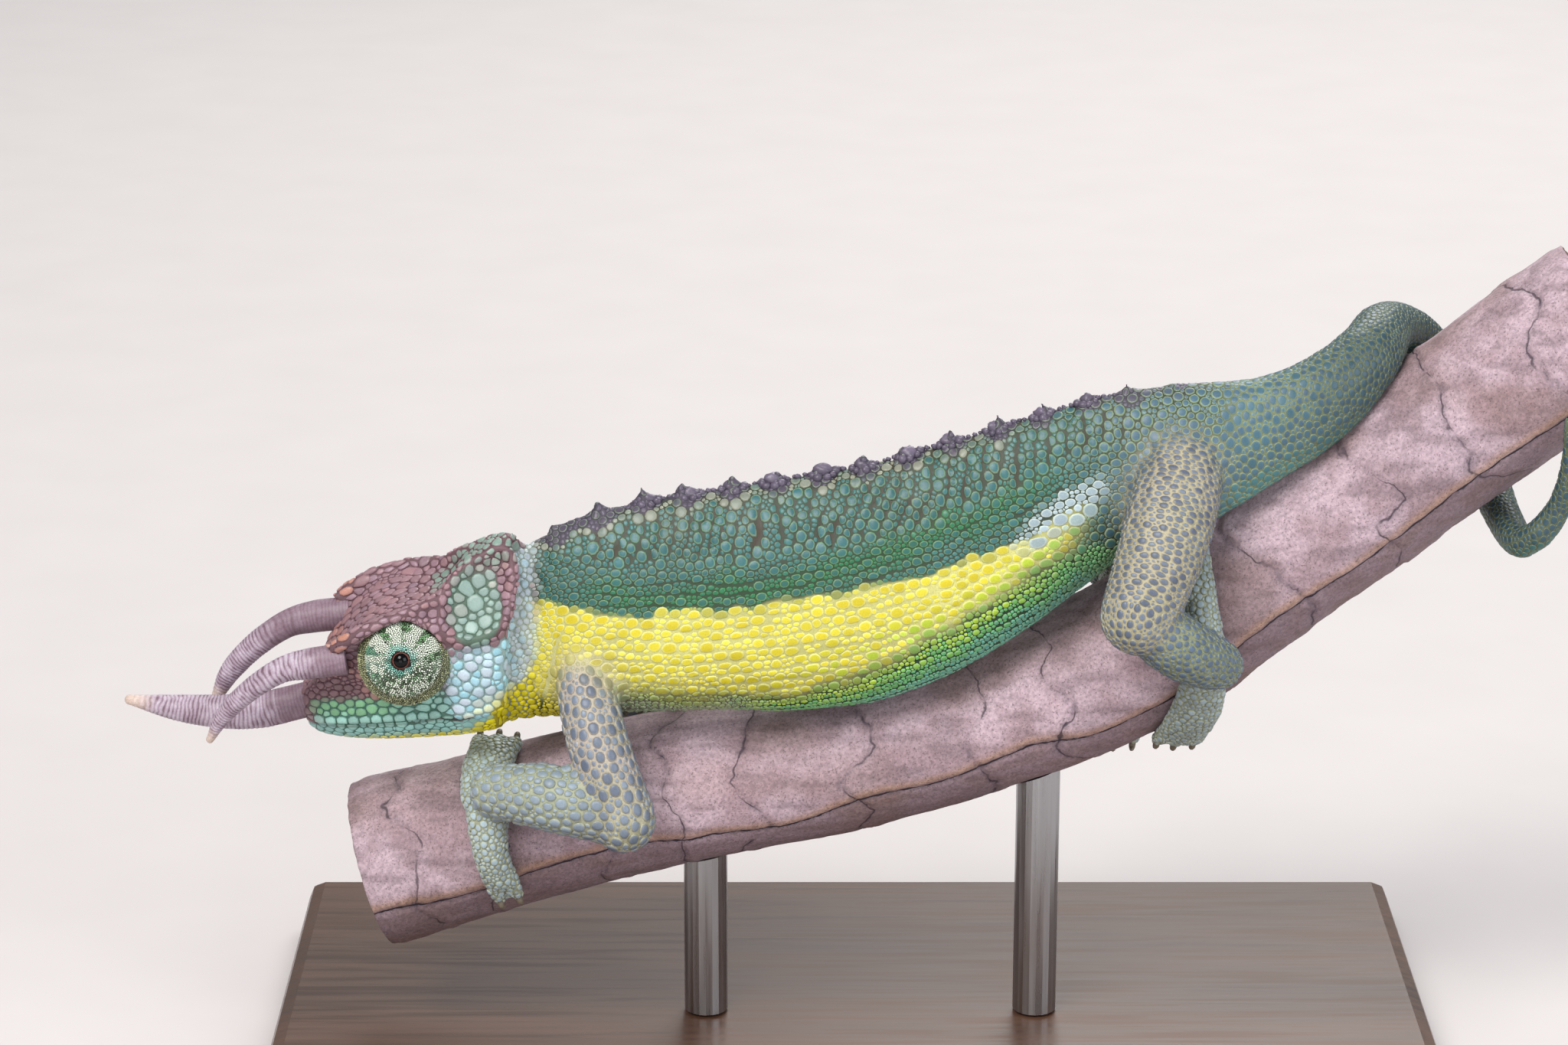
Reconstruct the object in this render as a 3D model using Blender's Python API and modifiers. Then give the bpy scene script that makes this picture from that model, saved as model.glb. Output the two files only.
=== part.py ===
"""Jackson's chameleon, an adult male of the small Mount Meru form, gripping an inclined branch.

A still, life-size display model. The animal faces -X, its left side faces -Y, and +Z is up.
Sizes are in millimetres and are turned into metres where a mesh is made. Every place is measured
from the middle of the trunk, and TRUNK_AT carries that point above the centre of the base's underside.
"""

import math
import random

import bmesh
import bpy
from mathutils import Vector, noise

MM = 0.001
TRUNK_AT = Vector((-8.0, -3.0, 67.0))
GAP = 0.3
WELD = 1e-6

# Trunk: station along X, top, underside, half width and the height of the widest level.
TRUNK_STATIONS = (
    (-27.5, -1.9, -22.9, 5.0, -12.5),
    (-24.0, 0.3, -22.5, 5.9, -13.0),
    (-20.5, 1.5, -22.1, 6.6, -13.2),
    (-16.0, 2.6, -22.0, 7.2, -13.2),
    (-10.0, 3.7, -21.7, 7.7, -12.8),
    (-3.0, 4.7, -21.7, 8.1, -12.0),
    (4.0, 5.8, -21.5, 8.2, -11.0),
    (10.0, 7.0, -20.7, 8.1, -9.8),
    (16.0, 8.7, -18.6, 7.8, -8.0),
    (22.0, 10.7, -15.6, 7.2, -5.0),
    (28.0, 12.6, -11.4, 6.5, -1.8),
    (34.0, 14.5, -6.6, 5.9, 2.0),
    (39.0, 15.5, -2.6, 5.6, 5.0),
    (43.5, 16.0, -0.9, 5.4, 7.0),
    (48.0, 16.4, 0.6, 4.9, 8.5),
)
TRUNK_SIDES = 20
TRUNK_STEPS = 2
BACK_SHARPNESS = 1.65
BELLY_SHARPNESS = 2.2

# Crest of the back: dark conical tubercles along the spine.
CREST_FROM, CREST_TO = -25.5, 43.0
CREST_PITCH = 4.85
CREST_CONE_RADIUS = 1.15
CREST_CONE_HEIGHT = 1.75
CREST_SINK = 0.8

# Head: its own frame starts at the front of the mouth. "a" runs back along the mouth line,
# "l" to the animal's left and "h" up. The muzzle points down and the crown leans to the left.
MOUTH_FRONT = Vector((-53.6, 0.0, -22.8))
HEAD_PITCH = math.radians(10.0)
HEAD_ROLL = math.radians(11.0)
# Stations: a, slant, top, ridge l and h, side l and h, cheek l, lip l. Past the eye the ridge is the
# parietal crest and the side is the lower rim of the casque, with the temple between them.
HEAD_STATIONS = (
    (-0.1, 0.00, 3.1, 1.0, 2.9, 1.4, 2.0, 1.5, 1.1),
    (0.8, 0.00, 4.3, 1.9, 4.1, 2.4, 3.0, 2.5, 2.2),
    (2.6, 0.00, 5.7, 2.9, 6.0, 3.3, 4.4, 3.3, 3.4),
    (4.6, 0.00, 7.6, 4.2, 8.6, 4.0, 6.4, 3.9, 4.1),
    (6.6, 0.00, 9.5, 5.2, 10.9, 4.4, 8.2, 4.4, 4.7),
    (8.8, 0.00, 11.4, 5.6, 12.3, 4.6, 9.6, 4.9, 5.2),
    (11.2, 0.00, 12.7, 5.6, 13.4, 4.6, 10.6, 5.4, 5.6),
    (13.8, 0.02, 13.4, 5.3, 14.0, 4.7, 11.0, 5.9, 6.0),
    (16.2, 0.04, 13.7, 4.8, 14.2, 5.4, 11.3, 6.5, 6.4),
    (18.4, 0.08, 14.3, 3.4, 15.0, 6.4, 10.5, 7.0, 6.7),
    (20.2, 0.12, 15.2, 2.2, 16.1, 6.7, 9.9, 7.2, 6.8),
    (21.8, 0.18, 16.6, 1.6, 17.1, 6.6, 10.2, 7.0, 6.6),
    (22.9, 0.22, 17.5, 1.1, 17.8, 6.1, 10.8, 6.4, 6.1),
)
CHEEK_HEIGHT = 4.2
TEMPLE_HOLLOW = 0.25
LIP_HEIGHT = 1.5
LIP_SWELL = 0.18
# Lower jaw: a, half width, depth below the mouth line.
JAW_STATIONS = (
    (0.1, 0.9, 1.0),
    (1.2, 2.1, 1.9),
    (3.5, 3.3, 2.6),
    (7.0, 4.4, 3.2),
    (11.0, 5.2, 3.6),
    (15.0, 5.8, 3.9),
    (19.0, 6.2, 4.1),
    (22.0, 5.9, 4.1),
)
EYE_PLACE = (13.3, 5.3, 8.25)
TURRET_RADIUS = 4.77
TURRET_CONE = 0.8
TURRET_SIDES = 16
EYEBALL_RADIUS = 0.95
LID_FOLD_RADIUS = 5.3
LID_FOLD_THICKNESS = 0.7
LID_FOLD_LEAN = 0.85
GAZE_LEFT = (0.0, -0.955, 0.29)
GAZE_RIGHT = (-0.42, 0.90, 0.08)
# The raised rim of the casque round the temple, as a, l and h.
CASQUE_RIM = (
    (18.0, 5.7, 11.9),
    (18.3, 4.5, 13.7),
    (19.6, 3.1, 15.2),
    (21.4, 2.1, 16.3),
    (23.9, 1.5, 17.2),
    (26.3, 1.2, 17.6),
    (26.9, 2.5, 15.9),
    (26.2, 4.3, 13.3),
    (25.2, 5.7, 11.2),
    (23.2, 6.5, 10.0),
    (20.8, 6.6, 9.8),
    (18.9, 6.3, 10.3),
)
CASQUE_RIM_RADIUS = 0.75
CASQUE_TIP = ((20.5, 0.0, 15.0), (24.2, 0.0, 17.0), (27.3, 0.0, 18.2))
CASQUE_TIP_RADII = (1.0, 1.1, 0.75)
BROW = ((5.6, 5.4, 10.9), (8.6, 6.1, 12.5), (12.0, 6.0, 13.5), (15.4, 5.5, 14.0), (18.4, 4.4, 14.3))
BROW_RADII = (1.0, 0.95, 0.85, 0.8, 0.75)
NOSTRIL = (2.9, 3.1, 4.0)
NOSTRIL_RADIUS = 0.42

# Horns, in the head's frame, with their radii. The rings are ridges of the horn's own surface.
NOSE_HORN = ((2.4, 0.0, 2.3), (-1.5, 0.0, 1.9), (-5.0, 0.0, 1.7), (-9.0, 0.0, 2.3), (-14.0, 0.0, 3.8), (-18.9, 0.0, 5.8))
NOSE_HORN_RADII = (1.95, 2.0, 2.0, 1.9, 1.45, 0.45)
BROW_HORN = ((6.9, 5.1, 9.3), (2.6, 5.2, 9.5), (-0.6, 5.1, 9.15), (-4.6, 5.0, 7.2), (-8.0, 4.8, 4.6), (-10.3, 4.6, 1.7))
BROW_HORN_RADII_LEFT = (1.75, 1.7, 1.4, 1.2, 0.95, 0.35)
BROW_HORN_RADII_RIGHT = (1.85, 1.8, 1.55, 1.4, 1.2, 0.6)
HORN_RINGS = 13
HORN_RING_DEPTH = 0.055
HORN_SMOOTH_BASE, HORN_SMOOTH_TIP = 0.2, 0.97

# Branch: axis points and radii. It bends upwards behind the animal.
BRANCH = (
    (-47.0, 5.0, -42.7),
    (-31.2, 5.0, -38.2),
    (-15.6, 5.0, -34.0),
    (8.6, 5.0, -29.2),
    (26.0, 5.0, -23.4),
    (40.8, 5.0, -16.3),
    (50.0, 5.0, -9.2),
    (62.4, 5.0, 0.4),
    (79.2, 5.0, 13.5),
    (91.0, 5.0, 22.6),
)
BRANCH_RADII = (9.9, 9.3, 8.9, 8.5, 8.7, 9.0, 9.2, 9.3, 9.5, 9.6)
BRANCH_SIDES = 16
BRANCH_STEPS = 3
BRANCH_LUMPS = 0.35

# Tail: it passes over the branch, down the far side and round under it, and ends on the near side.
TAIL_FREE = ((48.0, 0.0, 8.5), (52.6, 0.1, 10.6), (57.0, 0.5, 12.7), (61.0, 1.6, 15.2), (64.6, 4.4, 18.0))
TAIL_FREE_RADII = ((4.9, 7.9), (4.4, 6.1), (4.05, 5.3), (3.75, 4.7), (3.5, 4.0))
# Wrapped stretch: place of the branch's axis along X, angle round it from its top to the far side, clearance.
TAIL_WRAP = (
    (74.6, 26.0, 3.6),
    (76.0, 62.0, 3.4),
    (75.2, 100.0, 3.1),
    (73.8, 140.0, 2.8),
    (73.0, 176.0, 2.55),
)
TAIL_WRAP_RADII = (3.3, 2.95, 2.65, 2.4, 2.15)
TAIL_TIP = ((81.6, -2.3, -1.6), (84.8, -3.6, 2.4), (85.6, -5.0, 8.0), (84.9, -5.8, 13.6))
TAIL_TIP_RADII = (1.85, 1.5, 1.05, 0.45)
TAIL_CUTS = (0.0, 0.2, 0.36, 0.5, 0.64, 0.8, 1.0)
TAIL_SIDES = 14
TAIL_STEPS = 8
TAIL_SHARPNESS = 2.1
# The tail's rings turn from upright at the trunk to square with its path over this length.
TAIL_ROOT = 9.0

# Legs: shoulder or hip, elbow or knee, wrist or ankle. Radii run from root to end.
LIMBS = {
    "fore_left": (
        ((-22.6, -3.4, -15.0), (-20.6, -9.4, -22.2), (-17.7, -12.4, -30.4)),
        ((-17.7, -12.4, -30.4), (-25.0, -11.2, -28.4), (-31.8, -8.6, -28.5)),
    ),
    "fore_right": (
        ((-21.0, 3.6, -15.2), (-22.8, 10.4, -19.8), (-23.6, 16.6, -25.6)),
        ((-23.6, 16.6, -25.6), (-17.8, 19.0, -26.6), (-12.0, 18.8, -28.2)),
    ),
    "hind_left": (
        ((43.6, -2.4, 7.4), (41.6, -9.0, 1.8), (38.4, -13.2, -6.4)),
        ((38.4, -13.2, -6.4), (43.6, -12.0, -10.8), (47.6, -8.6, -13.6)),
    ),
    "hind_right": (
        ((42.4, 2.6, 7.2), (38.2, 10.2, 2.4), (32.4, 17.4, -3.8)),
        ((32.4, 17.4, -3.8), (36.8, 19.2, -9.6), (40.6, 18.6, -15.4)),
    ),
}
LIMB_RADII = {
    "fore": ((3.3, 3.4, 3.65), (3.05, 3.75, 3.0)),
    "hind": ((5.0, 4.9, 4.3), (3.6, 3.5, 2.9)),
}
LIMB_STEPS = 6

# Feet: two bundles of toes that grip like tongs. Each bundle runs along the branch and round it:
# place of the branch's axis along X, angle from its top (positive towards the near side), clearance.
FEET = {
    "fore_left": {
        "outer": (2, ((-31.2, 60.0, 4.4), (-32.2, 80.0, 3.1), (-32.2, 100.0, 1.9))),
        "inner": (3, ((-31.5, 54.0, 4.6), (-30.6, 36.0, 3.1), (-29.8, 14.0, 1.8))),
    },
    "fore_right": {
        "outer": (2, ((-11.2, -78.0, 4.6), (-10.8, -100.0, 3.0), (-10.4, -124.0, 1.75))),
        "inner": (3, ((-10.6, -70.0, 4.6), (-9.6, -50.0, 3.1), (-8.6, -30.0, 1.75))),
    },
    "hind_left": {
        "outer": (3, ((45.2, 98.0, 3.9), (42.6, 120.0, 2.6), (39.9, 149.0, 1.85))),
        "inner": (2, ((46.4, 88.0, 4.0), (48.6, 66.0, 2.9), (50.2, 40.0, 1.85))),
    },
    "hind_right": {
        "outer": (3, ((38.4, -98.0, 4.0), (36.4, -120.0, 2.8), (34.4, -146.0, 1.85))),
        "inner": (2, ((39.4, -88.0, 4.0), (41.0, -64.0, 2.9), (42.4, -38.0, 1.85))),
    },
}
BUNDLE_THICKNESS = (2.5, 2.0, 1.45)
TOE_SPACING = 1.75
TOE_RADIUS = 1.15
TOE_LENGTH = 2.4
CLAW_LENGTH = 1.5
CLAW_RADII = (0.42, 0.33, 0.08)
BUNDLE_SIDES = 10

# Stand.
BASE_SIZE = Vector((134.0, 84.0, 6.0))
BASE_CORNER = 2.0
ROD_RADIUS = 2.5
RODS = {"stand_rod_front": -9.0, "stand_rod_back": 29.0}

COLOURS = {
    "skin_green": ((0.10, 0.25, 0.22), 0.62),
    "skin_leg": ((0.36, 0.40, 0.36), 0.65),
    "head_brown": ((0.30, 0.21, 0.23), 0.58),
    "horn": ((0.42, 0.36, 0.42), 0.45),
    "lid": ((0.42, 0.50, 0.36), 0.5),
    "eye": ((0.01, 0.01, 0.01), 0.08),
    "bark": ((0.40, 0.30, 0.34), 0.8),
    "stand_metal": ((0.08, 0.08, 0.09), 0.35),
    "stand_wood": ((0.11, 0.07, 0.05), 0.4),
}


def clear_scene():
    for old in list(bpy.data.objects):
        bpy.data.objects.remove(old, do_unlink=True)


def material(name):
    """The named colour as a Principled material, made once."""
    if name in bpy.data.materials:
        return bpy.data.materials[name]
    colour, roughness = COLOURS[name]
    made = bpy.data.materials.new(name)
    made.use_nodes = True
    shader = made.node_tree.nodes["Principled BSDF"]
    shader.inputs["Base Color"].default_value = (*colour, 1.0)
    shader.inputs["Roughness"].default_value = roughness
    shader.inputs["Metallic"].default_value = 0.9 if name == "stand_metal" else 0.0
    return made


def collection(name):
    made = bpy.data.collections.new(name)
    bpy.context.scene.collection.children.link(made)
    return made


def mesh_object(name, bm, home, colour=None):
    """Turns a bmesh in millimetres round the trunk into an object in metres."""
    for vertex in bm.verts:
        vertex.co = (vertex.co + TRUNK_AT) * MM
    bmesh.ops.recalc_face_normals(bm, faces=bm.faces)
    mesh = bpy.data.meshes.new(name)
    bm.to_mesh(mesh)
    bm.free()
    mesh.shade_smooth()
    made = bpy.data.objects.new(name, mesh)
    home.objects.link(made)
    if colour:
        mesh.materials.append(material(colour))
    return made


def spline_point(points, t):
    """A point of the Catmull-Rom curve through the points, t from 0 to 1."""
    count = len(points) - 1
    place = min(max(t, 0.0), 1.0) * count
    i = min(int(place), count - 1)
    u = place - i
    p1, p2 = Vector(points[i]), Vector(points[i + 1])
    p0 = Vector(points[i - 1]) if i else p1 * 2 - p2
    p3 = Vector(points[i + 2]) if i + 2 <= count else p2 * 2 - p1
    return (
        p1 * 2 + (p2 - p0) * u + (p0 * 2 - p1 * 5 + p2 * 4 - p3) * u**2 + (p1 * 3 - p0 - p2 * 3 + p3) * u**3
    ) / 2


def frames_along(points, first_up):
    """Side and up directions at each point of a path, turning as little as they can."""
    tangents = []
    for i in range(len(points)):
        ahead = points[min(i + 1, len(points) - 1)]
        behind = points[max(i - 1, 0)]
        tangents.append((ahead - behind).normalized())
    up = first_up
    frames = []
    for tangent in tangents:
        up = (up - tangent * up.dot(tangent)).normalized()
        frames.append((tangent.cross(up), up))
    return frames


def super_ring(centre, side, up, half_width, rise, drop, sharp_top, sharp_under, sides):
    """A closed ring with its own height above and below the widest level."""
    ring = []
    for k in range(sides):
        angle = 2 * math.pi * k / sides
        across, along = math.cos(angle), math.sin(angle)
        power = 2.0 / (sharp_top if along >= 0 else sharp_under)
        x = math.copysign(abs(across) ** power, across) * half_width
        z = math.copysign(abs(along) ** power, along) * (rise if along >= 0 else drop)
        ring.append(centre + side * x + up * z)
    return ring


def loft(bm, rings, end_bulge=0.0):
    """Joins rings of equal count into one closed skin. The ends are fans round a middle point."""
    made = [[bm.verts.new(p) for p in ring] for ring in rings]
    count = len(rings[0])
    for a, b in zip(made, made[1:]):
        for k in range(count):
            n = (k + 1) % count
            bm.faces.new((a[k], a[n], b[n], b[k]))
    for ring, inner in ((made[0], made[1]), (made[-1], made[-2])):
        middle = sum((v.co for v in ring), Vector()) / count
        back = sum((v.co for v in inner), Vector()) / count
        outwards = (middle - back).normalized()
        tip = bm.verts.new(middle + outwards * end_bulge)
        for k in range(count):
            bm.faces.new((ring[k], ring[(k + 1) % count], tip))


def smooth_path(points, radii, steps):
    """Stations on a smooth curve through the points, with a radius at each."""
    samples = [i / steps for i in range(steps + 1)]
    sizes = [Vector((r, 0, 0)) for r in radii]
    return [spline_point(points, t) for t in samples], [spline_point(sizes, t).x for t in samples]


def add_dome(points, radii, steps):
    """Adds shrinking stations past the last one, so that a tube ends in a dome."""
    outwards = (points[-1] - points[-2]).normalized()
    end, radius = points[-1], radii[-1]
    for i in range(1, steps + 1):
        turn = math.pi / 2 * i / (steps + 0.5)
        points.append(end + outwards * radius * math.sin(turn))
        radii.append(radius * math.cos(turn))
    return points, radii


def curve_tube(name, points, radii, home, colour=None, cyclic=False, roundness=1):
    """A round tube as a bevelled curve, turned into a closed mesh. Roundness 1 gives six sides."""
    curve = bpy.data.curves.new(name, "CURVE")
    curve.dimensions = "3D"
    curve.bevel_depth = MM
    curve.bevel_resolution = roundness
    curve.use_fill_caps = True
    spline = curve.splines.new("BEZIER" if cyclic else "POLY")
    stations = spline.bezier_points if cyclic else spline.points
    stations.add(len(points) - 1)
    for station, place, radius in zip(stations, points, radii):
        place = (place + TRUNK_AT) * MM
        if cyclic:
            station.co = place
            station.handle_left_type = station.handle_right_type = "AUTO"
        else:
            station.co = (*place, 1.0)
        station.radius = radius
    spline.use_cyclic_u = cyclic
    spline.resolution_u = 2
    guide = bpy.data.objects.new(name + "_guide", curve)
    home.objects.link(guide)
    graph = bpy.context.evaluated_depsgraph_get()
    mesh = bpy.data.meshes.new_from_object(guide.evaluated_get(graph))
    bpy.data.objects.remove(guide)
    bm = bmesh.new()
    bm.from_mesh(mesh)
    bmesh.ops.remove_doubles(bm, verts=bm.verts, dist=WELD)
    bmesh.ops.recalc_face_normals(bm, faces=bm.faces)
    bm.to_mesh(mesh)
    bm.free()
    mesh.shade_smooth()
    made = bpy.data.objects.new(name, mesh)
    home.objects.link(made)
    if colour:
        mesh.materials.append(material(colour))
    return made


def oval_rings(points, radii, sides, steps, first_up):
    """Rings along a curve, for a body that is wider than tall. Each radius is a pair, side and up."""
    pairs = [Vector((*pair, 0)) for pair in radii]
    samples = [i / steps for i in range(steps + 1)]
    centres = [spline_point(points, t) for t in samples]
    sizes = [spline_point(pairs, t) for t in samples]
    rings = []
    for centre, size, (side, up) in zip(centres, sizes, frames_along(centres, first_up)):
        rings.append(super_ring(centre, side, up, size.x, size.y, size.y, 2.0, 2.0, sides))
    return rings


def rounded_end(rings, length, steps=2):
    """Adds shrinking rings past the last one, so that a loft ends in a dome."""
    last = rings[-1]
    middle = sum(last, Vector()) / len(last)
    behind = sum(rings[-2], Vector()) / len(last)
    outwards = (middle - behind).normalized()
    for i in range(1, steps + 1):
        turn = math.pi / 2 * i / (steps + 0.6)
        rings.append([middle + outwards * length * math.sin(turn) + (p - middle) * math.cos(turn) for p in last])
    return rings


def head_point(a, l, h):
    """A point of the head's frame as a point round the trunk."""
    back = Vector((math.cos(HEAD_PITCH), 0.0, math.sin(HEAD_PITCH)))
    level_up = Vector((-math.sin(HEAD_PITCH), 0.0, math.cos(HEAD_PITCH)))
    near = Vector((0.0, -1.0, 0.0))
    up = level_up * math.cos(HEAD_ROLL) + near * math.sin(HEAD_ROLL)
    left = near * math.cos(HEAD_ROLL) - level_up * math.sin(HEAD_ROLL)
    return MOUTH_FRONT + back * a + left * l + up * h


def head_direction(a, l, h):
    return (head_point(a, l, h) - head_point(0, 0, 0)).normalized()


def branch_axis(x):
    """Point of the branch's axis above this X, the slope's up direction and the radius there."""
    low, high = 0.0, 1.0
    for _ in range(30):
        middle = (low + high) / 2
        if spline_point(BRANCH, middle).x < x:
            low = middle
        else:
            high = middle
    t = (low + high) / 2
    ahead = (spline_point(BRANCH, t + 0.01) - spline_point(BRANCH, t - 0.01)).normalized()
    radius = spline_point([(r, 0, 0) for r in BRANCH_RADII], t).x
    return spline_point(BRANCH, t), Vector((-ahead.z, 0.0, ahead.x)), radius


def round_branch(x, angle, clearance):
    """A point at this angle from the branch's top, positive towards the near side."""
    centre, up, radius = branch_axis(x)
    turn = math.radians(angle)
    outwards = up * math.cos(turn) + Vector((0.0, -1.0, 0.0)) * math.sin(turn)
    return centre + outwards * (radius + clearance)


def move_to(obj, home):
    for old_home in list(obj.users_collection):
        old_home.objects.unlink(obj)
    home.objects.link(obj)


def apply_modifier(obj, kind, **settings):
    modifier = obj.modifiers.new(kind.title(), kind)
    for key, value in settings.items():
        setattr(modifier, key, value)
    graph = bpy.context.evaluated_depsgraph_get()
    old = obj.data
    obj.data = bpy.data.meshes.new_from_object(obj.evaluated_get(graph), depsgraph=graph)
    obj.modifiers.clear()
    bpy.data.meshes.remove(old)


def keep_largest(obj):
    """Leaves only the largest closed surface of the object's mesh."""
    bm = bmesh.new()
    bm.from_mesh(obj.data)
    islands, seen = [], set()
    for start in bm.faces:
        if start in seen:
            continue
        island, stack = [], [start]
        seen.add(start)
        while stack:
            face = stack.pop()
            island.append(face)
            for edge in face.edges:
                for other in edge.link_faces:
                    if other not in seen:
                        seen.add(other)
                        stack.append(other)
        islands.append(island)
    islands.sort(key=lambda faces: -sum(face.calc_area() for face in faces))
    for island in islands[1:]:
        bmesh.ops.delete(bm, geom=island, context="FACES")
    bmesh.ops.delete(bm, geom=[v for v in bm.verts if not v.link_faces], context="VERTS")
    bm.to_mesh(obj.data)
    bm.free()


def join_pieces(obj, pieces, solver="EXACT"):
    """One Boolean union of the object with its closed pieces, which are then removed."""
    group = collection(obj.name + "_pieces")
    for piece in pieces:
        move_to(piece, group)
    apply_modifier(obj, "BOOLEAN", operation="UNION", solver=solver, operand_type="COLLECTION", collection=group)
    for piece in pieces:
        bpy.data.objects.remove(piece)
    bpy.data.collections.remove(group)
    keep_largest(obj)


def swollen_copy(obj, by):
    """A copy whose surface stands out by this many millimetres."""
    made = obj.copy()
    made.data = obj.data.copy()
    cutters.objects.link(made)
    made.name = obj.name + "_clearance"
    apply_modifier(made, "DISPLACE", strength=by * MM, mid_level=0.0)
    return made


def cut_clear(obj, *neighbours, by=GAP, solver="EXACT"):
    """Cuts the object back so that it stops a gap short of its neighbours."""
    for neighbour in neighbours:
        cutter = swollen_copy(neighbour, by)
        apply_modifier(obj, "BOOLEAN", operation="DIFFERENCE", solver=solver, object=cutter)
        bpy.data.objects.remove(cutter)
    keep_largest(obj)


def trunk_profile(x):
    """Top, underside, half width and widest level of the trunk at this X."""
    xs = [station[0] for station in TRUNK_STATIONS]
    i = max(k for k in range(len(xs) - 1) if xs[k] <= x or k == 0)
    t = (i + (x - xs[i]) / (xs[i + 1] - xs[i])) / (len(xs) - 1)
    low = spline_point([(s[1], s[2], s[3]) for s in TRUNK_STATIONS], t)
    level = spline_point([(s[4], 0, 0) for s in TRUNK_STATIONS], t).x
    return low.x, low.y, low.z, level


def trunk_ring(x, grow=0.0):
    top, under, half_width, level = trunk_profile(x)
    centre = Vector((x, 0.0, level))
    return super_ring(
        centre, Vector((0, 1, 0)), Vector((0, 0, 1)), half_width + grow,
        top - level + grow, level - under + grow, BACK_SHARPNESS, BELLY_SHARPNESS, TRUNK_SIDES,
    )


def make_trunk(home):
    xs = []
    for (a, *_), (b, *_) in zip(TRUNK_STATIONS, TRUNK_STATIONS[1:]):
        xs += [a + (b - a) * k / TRUNK_STEPS for k in range(TRUNK_STEPS)]
    xs.append(TRUNK_STATIONS[-1][0])
    bm = bmesh.new()
    loft(bm, [trunk_ring(x) for x in xs])
    trunk = mesh_object("torso", bm, home, "skin_green")
    join_pieces(trunk, crest_cones(home))
    return trunk


def cone_piece(name, foot, out, radius, height, home, sides=5):
    """A blunt cone standing on a point, its foot sunk under the surface."""
    bm = bmesh.new()
    axis = out.normalized()
    side = axis.cross(Vector((0, 1, 0.01))).normalized()
    other = axis.cross(side)
    rings = []
    for level, share in ((-CREST_SINK, 1.0), (0.2 * height, 0.95), (0.72 * height, 0.52)):
        rings.append([
            foot + axis * level
            + (side * math.cos(2 * math.pi * k / sides) + other * math.sin(2 * math.pi * k / sides)) * radius * share
            for k in range(sides)
        ])
    loft(bm, rings, end_bulge=0.28 * height)
    return mesh_object(name, bm, home)


def crest_cones(home):
    """A row of tubercles along the spine, fading at both ends."""
    chance = random.Random(5)
    made = []
    count = round((CREST_TO - CREST_FROM) / CREST_PITCH)
    for i in range(count + 1):
        middle = CREST_FROM + (CREST_TO - CREST_FROM) * i / count + chance.uniform(-0.4, 0.4)
        fade = min(1.0, 0.55 + 0.3 * i, 0.45 + 0.16 * (count - i))
        foot = Vector((middle, 0.0, trunk_profile(middle)[0] - 0.35))
        lean = Vector((-0.12, 0.0, 1.0))
        size = fade * chance.uniform(0.9, 1.1)
        radius = CREST_CONE_RADIUS * (0.45 + 0.55 * size)
        made.append(cone_piece(f"crest_{i}", foot, lean, radius, CREST_CONE_HEIGHT * size, home))
    return made


def head_section(station):
    """One closed ring of the upper head, through its named corners."""
    a, slant, top, ridge_l, ridge_h, side_l, side_h, cheek_l, lip_l = station
    low = min(1.0, side_h / CHEEK_HEIGHT)
    half = (
        (0.0, top),
        (ridge_l * 0.55, top + 0.35 * (ridge_h - top)),
        (ridge_l, ridge_h),
        ((ridge_l + side_l) / 2 - TEMPLE_HOLLOW, (ridge_h + side_h) / 2),
        (side_l, side_h),
        (cheek_l, (CHEEK_HEIGHT if low == 1.0 else 0.62 * side_h)),
        (lip_l, LIP_HEIGHT * low),
        (lip_l + LIP_SWELL * low, LIP_HEIGHT * low * 0.6),
        (lip_l, GAP / 2),
        (lip_l * 0.5, GAP / 2),
        (0.0, GAP / 2),
    )
    ring = [head_point(a + slant * h, l, h) for l, h in half]
    ring += [head_point(a + slant * h, -l, h) for l, h in half[-2:0:-1]]
    return ring


def head_stations(steps):
    """The head's stations with smooth ones between them."""
    thirds = [[Vector(s[k : k + 3]) for s in HEAD_STATIONS] for k in (0, 3, 6)]
    total = (len(HEAD_STATIONS) - 1) * steps
    for i in range(total + 1):
        yield [value for third in thirds for value in spline_point(third, i / total)]


def head_tube(name, points, radii, home, steps=6):
    """A tapering ridge through points of the head's frame."""
    path, sizes = smooth_path([head_point(*p) for p in points], radii, steps)
    return curve_tube(name, path, sizes, home)


def head_ring(name, points, radius, home):
    """A closed ridge through points of the head's frame."""
    path = [head_point(*p) for p in points]
    return curve_tube(name, path, [radius] * len(path), home, cyclic=True)


def ball_piece(name, centre, radius, home, segments=16, colour=None):
    bm = bmesh.new()
    bmesh.ops.create_uvsphere(bm, u_segments=segments, v_segments=segments // 2 + 2, radius=radius)
    bmesh.ops.translate(bm, vec=centre, verts=bm.verts)
    return mesh_object(name, bm, home, colour)


def mirrored(points):
    return tuple((a, -l, h) for a, l, h in points)


def make_head(home):
    bm = bmesh.new()
    loft(bm, [head_section(s) for s in head_stations(2)], end_bulge=0.4)
    head = mesh_object("head", bm, home, "head_brown")
    pieces = [head_tube("casque_tip", CASQUE_TIP, CASQUE_TIP_RADII, home)]
    for side, flip in (("left", tuple), ("right", mirrored)):
        pieces.append(head_ring("rim_" + side, flip(CASQUE_RIM), CASQUE_RIM_RADIUS, home))
        pieces.append(head_tube("brow_" + side, flip(BROW), BROW_RADII, home))
        pieces.append(lid_fold("fold_" + side, flip, home))
    join_pieces(head, pieces)
    for side in (1, -1):
        a, l, h = NOSTRIL
        pit = ball_piece("pit", head_point(a, l * side, h), NOSTRIL_RADIUS, cutters, 8)
        apply_modifier(head, "BOOLEAN", operation="DIFFERENCE", object=pit)
        bpy.data.objects.remove(pit)
    return head


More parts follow.
